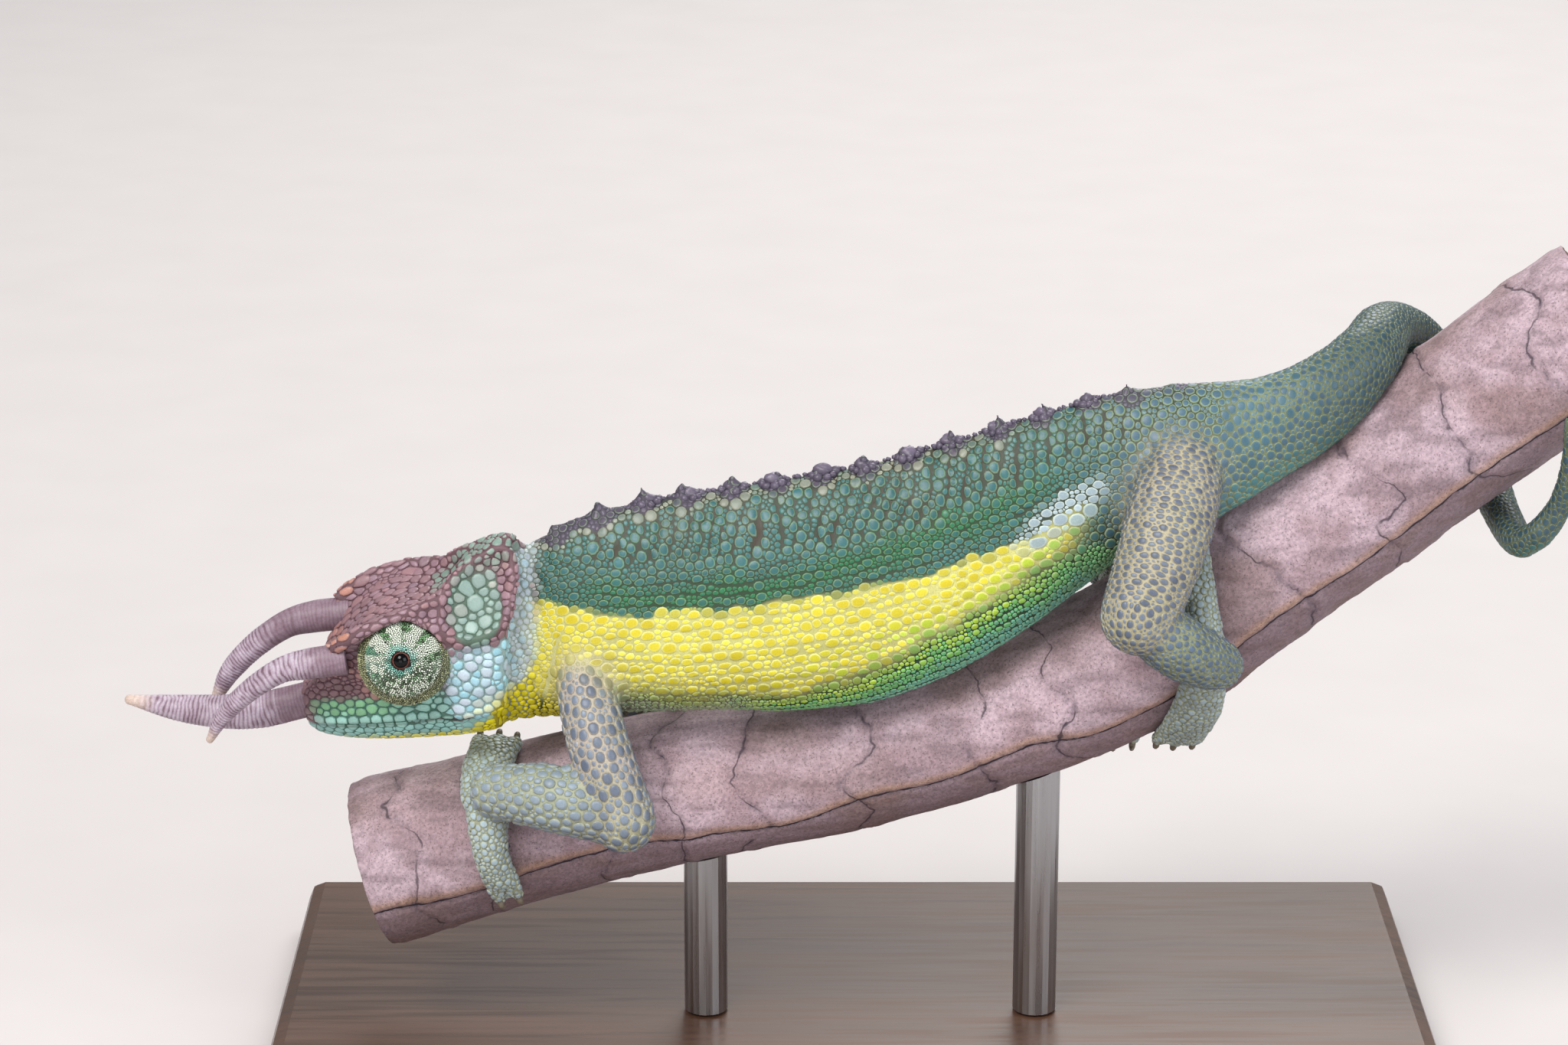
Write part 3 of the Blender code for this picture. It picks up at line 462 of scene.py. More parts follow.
def skin_folds(points, kind):
    """How deep the skin is creased at each point, in millimetres."""
    x, _, z = points.T
    torso, neck = kind == TORSO, kind == NECK
    drift = sway(points, 4.5, 101, 3.0) + sway(points, 1.6, 102, 0.9)
    uneven = smoothstep(0.3, 0.7, soft_noise(points, 3.2, 103))
    depth = torso * 0.24 * furrows(points)
    chest = smoothstep(-22.0, -18.0, x) * smoothstep(-1.0, -5.0, x) * smoothstep(-14.0, -17.0, z)
    depth += torso * 0.3 * chest * fold_lines(x + 0.35 * z + drift * 0.4, 1.1)
    _, row, _, rows_on = lanes(points)
    depth += torso * 0.12 * rows_on * uneven * (1 - chest) * fold_lines(row, ROW_PITCH, 3.0)
    depth += (neck | torso) * 0.26 * smoothstep(-24.5, -27.5, x) * fold_lines(x + 0.5 * z + drift * 0.5, 1.9)
    a, _, h = in_head(points)
    in_mouth = np.isin(kind, (HEAD, JAW)) & (a < 17.6)
    depth += in_mouth * 0.3 * np.exp(-((h / 0.3) ** 2))
    return np.clip(depth, 0.0, 0.5)


def spread_over(values, edges, rounds):
    """The columns of values, averaged with their neighbours round after round."""
    shares = np.bincount(edges.ravel(), minlength=len(values)) + 1.0
    for _ in range(rounds):
        for k in range(values.shape[1]):
            column = values[:, k]
            values[:, k] = (column + neighbour_sum(column, edges)) / shares
    return values


# Rounds of smoothing: its strength, the surface, the borders between the parts, and the shoulders and hips.
STRENGTH_ROUNDS, SURFACE_ROUNDS, BORDER_ROUNDS, FILLET_ROUNDS = 6, 14, 36, 45


def make_skin():
    """The skin, smooth over the joins, what part each of its points is on, and its share of every part."""
    skin = joined_flesh()
    mesh = skin.data
    tree, kinds, names = flesh_finder()
    points = mesh_points(mesh)
    face = nearest_faces(tree, points)
    kind, name = kinds[face], names[face]
    strength = np.array(SMOOTHING)[kind]
    edges = mesh_edges(mesh)
    for _ in range(STRENGTH_ROUNDS):
        strength[edges[:, 0]] = strength[edges[:, 1]] = (strength[edges[:, 0]] + strength[edges[:, 1]]) / 2
    points = smoothed(points, edges, strength, SURFACE_ROUNDS)
    shares = spread_over(np.eye(len(KINDS))[kind], edges, BORDER_ROUNDS)
    fillet = smoothstep(0.02, 0.25, shares[:, UPPER]) * smoothstep(0.0, 0.12, shares[:, TORSO])
    points = smoothed(points, edges, fillet, FILLET_ROUNDS)
    put_points(mesh, points)
    normals = point_normals(mesh)
    points -= normals * (SWELL + SKIN_DEPTH + skin_folds(points, kind))[:, None]
    put_points(mesh, points)
    mesh.shade_smooth()
    return skin, kind, name, shares


class Surface:
    """The skin as numbers: where it is, which way it faces and what part of the body it is."""

    def __init__(self, obj, kind, name, shares=None):
        mesh = obj.data
        mesh.calc_loop_triangles()
        self.points = mesh_points(mesh)
        self.normals = point_normals(mesh)
        self.corners = numbers(mesh.loop_triangles, "vertices", 3, np.int32)
        self.kind, self.name, self.shares = kind, name, shares
        self.tree = BVHTree.FromPolygons(self.points.tolist(), self.corners.tolist())

    def onto(self, points):
        """The nearest points of the skin, with their normals and the nearest skin point's number."""
        found = [self.tree.find_nearest(p) for p in points.tolist()]
        places = np.array([f[0] for f in found])
        corner = self.corners[[f[2] for f in found]]
        gaps = np.linalg.norm(self.points[corner] - places[:, None], axis=2)
        share = 1.0 / (gaps + 0.02)
        share /= share.sum(axis=1, keepdims=True)
        normals = unit((self.normals[corner] * share[..., None]).sum(axis=1))
        return places, normals, corner[:, 0]

    def hit(self, start, towards):
        """Where a line from this point first meets the skin, or None."""
        return self.tree.ray_cast(start.tolist(), towards)[0]


# Width of a scale's patch on the map for baking.
PATCH = 0.003
# Skin that a scale takes up, and room between two, in shares of their sizes.
ROOM, ELBOW_ROOM = 3.0, 1.02
# Sides of a scale's outline, the gaps between scales, and how much of an outline's corners is lost.
BIG_SIDES, SMALL_SIDES, LID_SIDES = 10, 8, 6
GROOVE, LEG_GROOVE, LID_GROOVE = 0.05, 0.09, 0.03
HEAD_ROUNDING, ROUNDING = 0.12, 0.3
# How many neighbours push a scale and border on it, how hard they push, and its longest step in its size.
PUSHED_BY, BORDERING, PUSH, LONGEST_STEP = 12, 14, 0.7, 0.5
# The pull towards the middle of a column or row, and its longest step.
LANE_PULL, LANE_STEP = 0.2, 0.3
# The least that a scale reaches out, as a share of its size or of the gap to its neighbour.
LEAST_REACH = 0.3
# How deep creases are in the scales, and how far a scale's lowest ring lies under the skin.
CREASE_DEPTH, RIM_SUNK = 0.18, 0.06
# Further than any neighbour, and the slant below which a border is not met.
FAR, GRAZING = 9.0, 0.08
UV_NAME = "OFBake"
PAINT = "paint"


def lie_directions(normals, along):
    """Two directions in the surface at each point, the first as near as it can be to the given one."""
    first = unit(along - normals * (along * normals).sum(axis=1, keepdims=True))
    return first, np.cross(normals, first)


def neighbours(points, count):
    tree = planted(points)
    found = np.empty((len(points), count), np.int64)
    for i, p in enumerate(points.tolist()):
        found[i] = [f[1] for f in tree.find_n(p, count + 1)][1:]
    return found


def spread_gaps(points, normals, along, stretch, near):
    """Offsets to the near points as seen in the surface, with the lie's stretch taken out."""
    first, second = lie_directions(normals, along)
    offset = points[near] - points[:, None]
    x = (offset * first[:, None]).sum(axis=2) / stretch[:, None]
    y = (offset * second[:, None]).sum(axis=2) * stretch[:, None]
    facing = (normals[near] * normals[:, None]).sum(axis=2) > 0.1
    return x, y, facing, first, second


def scatter(surface, design, seed, rounds=14, rows=None):
    """Places scales of several sizes so that they fill the surface like pebbles.

    Rows are the places and sizes of plates that stay where they are put.
    """
    chance = np.random.RandomState(seed)
    centre = surface.points[surface.corners].mean(axis=1)
    edge_a = surface.points[surface.corners[:, 1]] - surface.points[surface.corners[:, 0]]
    edge_b = surface.points[surface.corners[:, 2]] - surface.points[surface.corners[:, 0]]
    area = np.linalg.norm(np.cross(edge_a, edge_b), axis=1) / 2
    spot = surface.corners[:, 0]
    plan = design(centre, surface.normals[spot], surface.kind[spot], surface.name[spot])
    room = ROOM * (plan["share"] * plan["big"] ** 2 + (1 - plan["share"]) * plan["small"] ** 2)
    wanted = np.cumsum(area / room * plan["covered"])
    count = int(wanted[-1])
    pick = np.searchsorted(wanted, (np.arange(count) + chance.uniform(size=count)) * wanted[-1] / count)
    pick = np.minimum(pick, len(area) - 1)
    u, v = chance.uniform(size=(2, count))
    flip = u + v > 1
    u[flip], v[flip] = 1 - u[flip], 1 - v[flip]
    points = surface.points[surface.corners[pick, 0]] + edge_a[pick] * u[:, None] + edge_b[pick] * v[:, None]
    points, normals, spot = surface.onto(points)
    fixed_size = np.zeros(0)
    if rows is not None:
        fixed, fixed_size = rows
        tree = planted(fixed)
        nearest = [tree.find(p)[1:] for p in points.tolist()]
        free = np.array([gap > 0.95 * fixed_size[i] for i, gap in nearest])
        points = np.concatenate([points[free], fixed])
        points, normals, spot = surface.onto(points)
        count = len(points)
    loose = count - len(fixed_size)
    draw = chance.uniform(size=(3, count))
    for turn in range(rounds):
        plan = design(points, normals, surface.kind[spot], surface.name[spot])
        is_big = draw[0] < plan["share"]
        is_big[loose:] = True
        size = np.where(is_big, plan["big"] * (0.8 + 0.4 * draw[1]), plan["small"] * (0.75 + 0.5 * draw[2]))
        size[loose:] = fixed_size
        if turn % 3 == 0:
            near = neighbours(points, PUSHED_BY)
        x, y, facing, first, second = spread_gaps(points, normals, plan["along"], plan["stretch"], near)
        gap = np.hypot(x, y) + 1e-6
        weight = size[near] ** 2 / (size[near] ** 2 + size[:, None] ** 2)
        crowded = np.maximum((size[:, None] + size[near]) * ELBOW_ROOM - gap, 0.0)
        push = np.where(facing, crowded, 0.0) * weight * PUSH / gap
        move_x = -(x * push).sum(axis=1) * plan["stretch"]
        move_y = -(y * push).sum(axis=1) / plan["stretch"]
        length = np.hypot(move_x, move_y) + 1e-9
        limit = np.minimum(1.0, LONGEST_STEP * size / length)
        limit[loose:] = 0.0
        to_column, to_row = (np.clip(plan[lane] * plan[lane + "_on"] * LANE_PULL, -LANE_STEP, LANE_STEP)
                             for lane in ("column", "row"))
        to_row = to_row * np.sign(second[:, 2])
        moved = points + first * (move_x * limit - to_column)[:, None]
        moved += second * (move_y * limit - to_row)[:, None]
        points, normals, spot = surface.onto(moved)
    plan = design(points, normals, surface.kind[spot], surface.name[spot])
    return {"points": points, "normals": normals, "spot": spot, "size": size, "big": is_big, "plan": plan,
            "draw": draw.T, "kind": surface.kind[spot], "name": surface.name[spot]}


def cell_outlines(scales, sides, groove, rounding):
    """How far each scale reaches in each direction, up to the line halfway to its neighbours.

    Groove is the gap left between scales, and rounding how much of each corner is lost.
    """
    points, size, plan = scales["points"], scales["size"], scales["plan"]
    near = neighbours(points, BORDERING)
    normals, along, stretch = scales["normals"], plan["along"], plan["stretch"]
    x, y, facing, first, second = spread_gaps(points, normals, along, stretch, near)
    gap = np.hypot(x, y) + 1e-6
    half = (gap**2 + size[:, None] ** 2 - size[near] ** 2) / (2 * gap)
    half = np.maximum(half, LEAST_REACH * gap)
    half = np.where(facing, half, FAR)
    turn = turns(sides)
    reach = np.full((len(points), sides), FAR)
    for k in range(near.shape[1]):
        bearing = np.arctan2(y[:, k], x[:, k])
        slant = np.cos(turn[None] - bearing[:, None])
        cut = half[:, k, None] / np.maximum(slant, GRAZING)
        reach = np.minimum(reach, np.where(slant > GRAZING, cut, FAR))
    walls = (("column", COLUMN_PITCH, np.cos(turn)[None], stretch),
             ("row", ROW_PITCH, np.sin(turn)[None] * np.sign(second[:, 2])[:, None], 1 / stretch))
    for lane, pitch, way, stretched in walls:
        wide = FAR * (1.0 - plan[lane + "_on"]) ** 2
        room = (pitch / 2 - plan[lane][:, None] * np.sign(way) + wide[:, None]) / stretched[:, None]
        reach = np.minimum(reach, np.where(np.abs(way) > 0.1, room / np.maximum(np.abs(way), 0.1), FAR))
    furthest = plan["reach"] + 0.5 * (plan["column_on"] > 0)
    reach = np.minimum(np.maximum(reach, 0.2 * size[:, None]), (furthest * size)[:, None])
    beside = (np.roll(reach, 1, axis=1) + np.roll(reach, -1, axis=1)) / 2
    reach = reach + (beside - reach) * rounding[:, None]
    reach = np.maximum(reach - groove[:, None] / 2, LEAST_REACH * size[:, None])
    across = np.cos(turn)[None] * reach * stretch[:, None]
    over = np.sin(turn)[None] * reach / stretch[:, None]
    return first[:, None] * across[..., None] + second[:, None] * over[..., None]


def build_scales(name, surface, scales, pick, sides, levels, paint, unwrap, creases=None):
    """Joins the picked scales into one piece, each a low closed dome with its own colours.

    Each level is how far out a ring lies, how high it stands, and its shares of rim colour and pale ring.
    """
    outlines, plan = scales["outline"][sides], scales["plan"]
    chosen = {key: value[pick] for key, value in scales.items() if isinstance(value, np.ndarray)}
    count = len(pick)
    centre, normal = chosen["points"], chosen["normals"]
    rim, _, _ = surface.onto((centre[:, None] + outlines[pick]).reshape(-1, 3))
    rim = rim.reshape(count, sides, 3)
    height = plan["height"][pick] * chosen["size"] * (0.85 + 0.3 * chosen["draw"][:, 2])
    rings = []
    for out, high, _, _ in levels:
        lift = normal[:, None] * (height * high)[:, None, None]
        above = centre[:, None] + (rim - centre[:, None]) * out + lift
        rings.append(above if high > 0 else rim - normal[:, None] * RIM_SUNK)
    top = centre + normal * (height * 1.02)[:, None]
    per = sides * len(levels) + 1
    places = np.concatenate([*rings, top[:, None]], axis=1)
    tone, pale = (np.append(np.repeat([level[k] for level in levels], sides), 0.0)[:, None] for k in (2, 3))
    faces = []
    for level in range(len(levels) - 1):
        for k in range(sides):
            a, b = level * sides + k, level * sides + (k + 1) % sides
            faces += [(a, b, b + sides), (a, b + sides, a + sides)]
    last = (len(levels) - 1) * sides
    faces += [(last + k, last + (k + 1) % sides, per - 1) for k in range(sides)]
    faces += [(0, k + 1, k) for k in range(1, sides - 1)]
    pattern = np.array(faces)
    index = (pattern[None] + per * np.arange(count)[:, None, None]).reshape(-1, 3)
    inner, outer, ring = (part[:, None] for part in paint(chosen))
    colours = (inner + (outer - inner) * tone) * (1 - pale) + ring * pale
    # Creases sink the scales and paint them dark: painted shade in the mouth line and the throat's fold.
    if creases:
        crease = creases(places.reshape(-1, 3)).reshape(count, per, 1)
        places = places - normal[:, None] * crease * CREASE_DEPTH
        colours = colours * (1 - crease) + INK["crease_shade"] * crease
    where, turn = unwrap(chosen), turns(sides)
    patch = np.stack([np.cos(turn), np.sin(turn)], axis=1) * PATCH / 2
    rings_uv = np.concatenate([patch * max(level[0], 0.2) for level in levels] + [np.zeros((1, 2))])
    uv = (where[:, None] + rings_uv[None]).reshape(-1, 2)
    return raw_piece(name, places.reshape(-1, 3), index, colours.reshape(-1, 3), uv)


def raw_piece(name, points, triangles, colours, uv=None):
    """A mesh object from plain numbers, with its colours and its map for baking."""
    mesh = bpy.data.meshes.new(name)
    mesh.vertices.add(len(points))
    mesh.loops.add(triangles.size)
    mesh.polygons.add(len(triangles))
    set_places(mesh, points)
    mesh.loops.foreach_set("vertex_index", triangles.astype(np.int32).ravel())
    mesh.polygons.foreach_set("loop_start", np.arange(0, triangles.size, 3, dtype=np.int32))
    mesh.update(calc_edges=True)
    mesh.shade_smooth()
    give_colours(mesh, colours)
    if uv is not None:
        layer = mesh.uv_layers.new(name=UV_NAME)
        layer.data.foreach_set("uv", uv[triangles.ravel()].astype(np.float32).ravel())
    made = bpy.data.objects.new(name, mesh)
    bpy.context.scene.collection.objects.link(made)
    return made


def give_colours(mesh, colours):
    layer = mesh.attributes.new(PAINT, "FLOAT_COLOR", "POINT")
    flat = np.concatenate([colours, np.ones((len(colours), 1))], axis=1).astype(np.float32)
    layer.data.foreach_set("color", flat.ravel())


# The line of the back.
BACK_X = (-27.5, -16.0, -3.0, 10.0, 22.0, 34.0, 48.0)
BACK_Z = (-1.9, 2.6, 4.7, 7.0, 10.7, 14.5, 16.4)


def back_line(x):
    return np.interp(x, BACK_X, BACK_Z)


# Limbs in the order of their root, joint and end, to measure places along them.
LIMB_JOINTS = {
    "fore_left": ((-22.6, -3.4, -15.0), (-17.7, -12.4, -30.4), (-31.8, -8.6, -28.5)),
    "fore_right": ((-21.0, 3.6, -15.2), (-23.6, 16.6, -25.6), (-12.0, 18.8, -28.2)),
    "hind_left": ((43.6, -2.4, 7.4), (38.4, -13.2, -6.4), (47.6, -8.6, -13.6)),
    "hind_right": ((42.4, 2.6, 7.2), (32.4, 17.4, -3.8), (40.6, 18.6, -15.4)),
}

# Inks, as levels of red, green and blue on a screen.
TINTS = {
    # Trunk
    "teal": (60, 108, 122), "teal_deep": (42, 84, 90), "teal_rim": (86, 114, 102),
    # The groove inks are the skin between scales, darkened with painted shade.
    "ring": (136, 152, 122), "forest": (30, 98, 70), "forest_rim": (66, 124, 66), "groove": (50, 58, 50),
    "furrow": (66, 52, 46), "groove_green": (38, 60, 42), "yellow": (224, 202, 78),
    # The first ink below is painted shade for the flank's furrows.
    "yellow_deep": (214, 186, 60), "yellow_pale": (226, 212, 150), "lime": (178, 200, 78),
    "belly": (104, 168, 168), "belly_green": (108, 176, 104), "belly_rim": (158, 196, 160),
    "white_blue": (164, 173, 194), "white_rim": (206, 208, 216), "chest": (142, 150, 132),
    "chest_rim": (176, 160, 158), "crest": (84, 72, 94), "crest_edge": (176, 160, 150),
    # The next ink is a painted highlight on the tops of the crest's knobs.
    "crest_highlight": (140, 122, 152),
    # Tail, legs and feet
    "tail": (80, 102, 130), "tail_rim": (158, 162, 136), "tail_under": (84, 148, 154),
    "slate": (130, 134, 158), "slate_dark": (98, 102, 128), "tan": (174, 162, 138),
    "peach": (190, 170, 172), "hand": (152, 158, 180), "hand_pale": (190, 200, 222),
    "hand_rim": (168, 164, 152), "shin": (92, 104, 132), "shin_rim": (144, 142, 124),
    "hind_net": (188, 170, 152),
    # Head and neck
    "crown": (158, 114, 122), "crown_pink": (206, 142, 130), "parietal": (126, 152, 152),
    "crown_rim": (128, 92, 106), "purple": (148, 116, 136), "snout": (122, 92, 108),
    "temple": (140, 154, 158), "temple_rim": (104, 122, 114), "lip": (156, 188, 190),
    "lip_green": (126, 170, 132), "lip_rim": (92, 128, 122), "jaw": (148, 182, 188),
    "cheek": (166, 202, 230), "cheek_lilac": (202, 206, 232), "cheek_rim": (168, 184, 196),
    # Among the next inks is the painted shade of the mouth line and the throat's fold.
    "throat": (230, 206, 54), "crease_shade": (58, 38, 34), "neck": (184, 184, 206),
    # Horns, claws, lids and eyeballs
    # The third ink below is painted shade for the valleys between the horns' rings.
    "horn": (160, 132, 158), "horn_pale": (198, 178, 202), "horn_groove": (116, 88, 106),
    "horn_base": (108, 80, 96), "horn_base_pale": (142, 112, 132), "horn_tip": (214, 184, 182),
    "claw": (120, 104, 96), "lid_ring": (176, 116, 108), "lid_dark": (66, 80, 60),
    "lid_green": (146, 184, 144), "lid_white": (255, 253, 250), "lid_cyan": (136, 200, 200),
    "lid_olive": (148, 144, 116), "lid_gold": (214, 206, 172), "iris": (168, 108, 104),
    "pupil": (3, 3, 5),
    # Bark
    "bark": (164, 134, 150), "bark_lilac": (190, 160, 180), "bark_brown": (118, 88, 86),
    "bark_edge": (184, 140, 126), "bark_wood": (190, 156, 136), "bark_grey": (128, 104, 118),
    "bark_joint": (92, 76, 94),
}
# The photo's light is rosy: the share of each colour that is left without it, and how much fuller inks are.
BALANCE = np.array((0.92, 1.04, 0.90))
FULLNESS = 1.1


def toned(colour):
    """A colour measured in the photo as it looks in plain white light."""
    plain = np.array(colour) * BALANCE
    return np.clip(plain.mean() + (plain - plain.mean()) * FULLNESS, 0.0, 1.0)


INK = {name: toned(tint(*levels)) for name, levels in TINTS.items()}


def blend(first, second, share):
    """Two colours, or the names of two inks, mixed by shares of the second."""
    first, second = (INK[colour] if isinstance(colour, str) else colour for colour in (first, second))
    share = np.asarray(share)[..., None]
    return first * (1 - share) + second * share


def lay(inner, rim, share, over, edge):
    """The inside and rim colours of scales with two others laid over them."""
    return blend(inner, over, share), blend(rim, edge, share)


def limb_share(points, name):
    """How far along its limb each point lies: 0 at the root, 1 at the elbow or knee, 2 at the wrist."""
    share = np.zeros(len(points))
    along = np.tile(np.array((1.0, 0.0, 0.0)), (len(points), 1))
    for number, node in enumerate(FLESH):
        limb = "_".join(node.split("_")[:2])
        if limb not in LIMB_JOINTS:
            continue
        here = name == number
        if not here.any():
            continue
        root, joint, end = (np.array(p) for p in LIMB_JOINTS[limb])
        a, b, start = (root, joint, 0.0) if "upper" in node else (joint, end, 1.0)
        t = ((points[here] - a) @ (b - a)) / ((b - a) @ (b - a))
        share[here] = start + np.clip(t, 0.0, 1.0)
        along[here] = unit(b - a)
    return share, along


# Where the crest starts and ends along X, and its number of groups.
CREST_FROM, CREST_TO, CREST_GROUPS = -25.0, 43.0, 15
CREST_PITCH = (CREST_TO - CREST_FROM) / (CREST_GROUPS - 1)
# The green stripe's height over the yellow band along the flank.
STRIPE_X, STRIPE_RISE = (-20.0, 0.0, 12.0, 26.0), (1.2, 1.8, 3.2, 4.6)
# The mouth's line in the head's frame. It drops behind the corner.
MOUTH_A, MOUTH_H = (0.0, 13.5, 15.4, 16.4, 17.6, 19.4), (0.0, 0.0, 0.35, 0.1, -0.25, 0.1)
MOUTH_WIDTH = 0.26
SHOULDER_FOLD_X, SHOULDER_FOLD_Z, SHOULDER_FOLD_SLOPE = -26.4, -18.0, 0.22
PALE_NECK_END, NECK_BLUR = -27.4, 0.8
HIP_PATCH_X, HIP_PATCH_Z = 30.5, 3.0
# The temple's pale patch: its middle in the head's frame, half its width and height, and its lean.
TEMPLE_AT = (22.1, 12.9)
TEMPLE_RADII = (2.75, 3.65)
TEMPLE_LEAN = math.radians(12.0)


def flank_marks(points):
    """Levels and shares of the flank's markings at each point of the trunk."""
    x, _, z = points.T
    wobble = sway(points, 1.7, 3, 1.5) + sway(points, 5.0, 4, 1.2)
    top = np.interp(x, BAND_X, BAND_TOP) + wobble * 0.8
    foot = np.interp(x, BAND_X, BAND_FOOT) + wobble
    band = smoothstep(-0.5, 0.4, top - z) * smoothstep(-1.6, 1.4, z - foot) * smoothstep(35.0, 29.0, x)
    below = smoothstep(0.5, -2.0, z - foot)
    return {"band": band, "below": below * (1 - band), "from_top": z - top, "from_foot": z - foot}


def throat_share(points):
    """1 in the bright yellow below and behind the cheek."""
    x, _, z = points.T
    wobble = sway(points, 1.5, 24, 2.4)
    below_cheek = smoothstep(-0.3, 0.9, 1.05 * x + 14.2 - z + wobble)
    return below_cheek * smoothstep(-35.5, -33.5, x) * smoothstep(-21.0, -25.5, x)


def hip_patch(points):
    """From 0 to 1 in the pale patch that leans along the flank before the hip."""
    x, _, z = points.T
    ahead = x - HIP_PATCH_X
    return np.exp(-((ahead / 6.0) ** 2) - ((z - HIP_PATCH_Z - 0.62 * ahead) / 2.5) ** 2)


def trunk_paint(points, draw, big):
    """Inside, rim and groove colours of the trunk's scales. The grooves are darker than the rims: the skin's
    own colour with painted shade in the gaps.
    """
    x, _, z = points.T
    marks = flank_marks(points)
    patchy = soft_noise(points, 6.0, 11)
    inner = blend("teal_deep", "teal", 0.35 * draw + 0.65 * patchy)
    rim = INK["teal_rim"]
    groove = INK["groove"]
    rise = np.interp(x, STRIPE_X, STRIPE_RISE)
    off_stripe = (marks["from_top"] + sway(points, 3.0, 12, 2.4) - rise) / 1.9
    near_band = np.exp(-(off_stripe**2)) * smoothstep(-26.0, -16.0, x) * smoothstep(33.0, 24.0, x)
    edge = 0.75 * smoothstep(0.9, 0.2, marks["from_top"]) * smoothstep(33.0, 26.0, x)
    near_band = np.maximum(near_band, edge)
    # The upright furrows are painted darker, as painted shade in the creases.
    crease = furrows(points)[:, None]
    inner = blend(inner, "forest", near_band * np.where(big, 0.45, 0.9))
    rim = blend(rim, "forest_rim", near_band * 0.8)
    groove = blend(groove, "groove_green", near_band)
    inner, rim = inner * (1 - 0.3 * crease), rim * (1 - 0.4 * crease)
    groove = blend(groove, "furrow", crease[:, 0])
    grey = smoothstep(0.45, 0.75, soft_noise(points, 4.0, 14)) * smoothstep(4.0, 9.0, marks["from_top"])
    rim = blend(rim, INK["crest_edge"] * 0.75, grey * 0.45)
    under = marks["below"]
    depth = marks["from_foot"] + (draw - 0.5) * 2.2
    low_inner = blend("belly", "belly_green", smoothstep(-6.0, -3.2, depth))
    low_inner = blend(low_inner, "lime", smoothstep(-3.2, -1.2, depth) * smoothstep(34, 24, x))
    low_rim = blend("belly_rim", "yellow_pale", smoothstep(-3.5, -1.0, depth) * 0.6)
    low_rim = blend(low_rim, low_inner, 0.45)
    inner, rim = lay(inner, rim, under, low_inner, low_rim)
    chest = under * smoothstep(0.0, -7.0, x) * smoothstep(-25.0, -20.0, x) * 0.75
    inner, rim = lay(inner, rim, chest, "chest", "chest_rim")
    groove = blend(groove, "groove_green", under)
    groove = blend(groove, INK["chest_rim"] * 0.45, chest)
    stained = smoothstep(0.5, 0.8, soft_noise(points, 5.0, 13)) * 0.5
    yellow = blend("yellow", "yellow_deep", np.clip(draw * 0.8 + stained, 0, 1))
    fade = smoothstep(5.5, 0.0, marks["from_foot"] + (patchy - 0.5) * 4.0) * smoothstep(-8.0, 16.0, x)
    yellow = blend(yellow, "lime", fade * (draw > 0.4))
    inner, rim = lay(inner, rim, marks["band"], yellow, "yellow_pale")
    groove = blend(groove, INK["yellow_pale"] * (0.55 + 0.35 * patchy)[:, None], marks["band"])
    hip = smoothstep(0.25, 0.75, hip_patch(points) + 0.25 * (draw - 0.5))
    inner, rim = lay(inner, rim, hip, "white_blue", "white_rim")
    tail_ward = smoothstep(27.0, 42.0, x + 3.0 * (draw - 0.5))
    inner = blend(inner, "tail", tail_ward * (1 - hip) * 0.8)
    rim = blend(rim, "tail_rim", tail_ward * (1 - hip) * 0.7)
    bright = throat_share(points)
    inner, rim = lay(inner, rim, bright, "yellow", "yellow_deep")
    front = smoothstep(PALE_NECK_END + NECK_BLUR, PALE_NECK_END - NECK_BLUR, x) * (1 - bright)
    inner, rim = blend(inner, "neck", front * 0.8), blend(rim, "white_rim", front)
    back = back_line(x)
    scallop = 0.5 * np.cos(2 * math.pi * (x - CREST_FROM) / CREST_PITCH)
    ridge = smoothstep(0.95, 0.6, back - z - scallop) * (1.0 - 0.7 * smoothstep(36, 44, x))
    inner = blend(inner, "crest", ridge)
    rim = blend(rim, "crest", ridge * 0.9)
    outline = np.exp(-(((back - z - scallop - 1.1) / 0.25) ** 2)) * (1.0 - smoothstep(20, 34, x)) * 0.6
    inner, rim = lay(inner, rim, outline, "crest_edge", "crest_edge")
    groove = blend(groove, INK["crest"] * 0.6, ridge)
    return inner, rim, groove


def temple_ring(a, h):
    """1 on the edge of the temple's pale patch, less inside it."""
    da, dh = a - TEMPLE_AT[0], h - TEMPLE_AT[1]
    across = da * math.cos(TEMPLE_LEAN) - dh * math.sin(TEMPLE_LEAN)
    up = da * math.sin(TEMPLE_LEAN) + dh * math.cos(TEMPLE_LEAN)
    return np.hypot(across / TEMPLE_RADII[0], up / TEMPLE_RADII[1])


def ring_places(centre, radii, lean, count, first=0.0):
    """Places along a, h evenly round an ellipse."""
    turn = turns(count, first)
    across, up = radii[0] * np.cos(turn), radii[1] * np.sin(turn)
    cos, sin = math.cos(lean), math.sin(lean)
    return [(centre[0] + x * cos + y * sin, centre[1] + y * cos - x * sin) for x, y in zip(across, up)]


# Lip plates above and below the mouth: the first one's place, the pitch, how many, height and size.
LIP_ROWS = ((1.9, 1.32, 11, 0.94, 0.78), (1.5, 1.15, 14, -0.62, 0.52))
# Sizes of the plates on the temple, in the casque's two rims, over the eye and round a horn's foot.
TEMPLE_MIDDLE, TEMPLE_PLATE = 1.12, 0.95
CASQUE_RIM, CASQUE_OUTER, EYE_RING, HORN_FOOT = 0.62, 0.6, 0.52, 0.66
# A place beside the head, and the least distance of two plates as a share of their sizes.
BESIDE_HEAD, PLATE_GAP = 14.0, 0.8


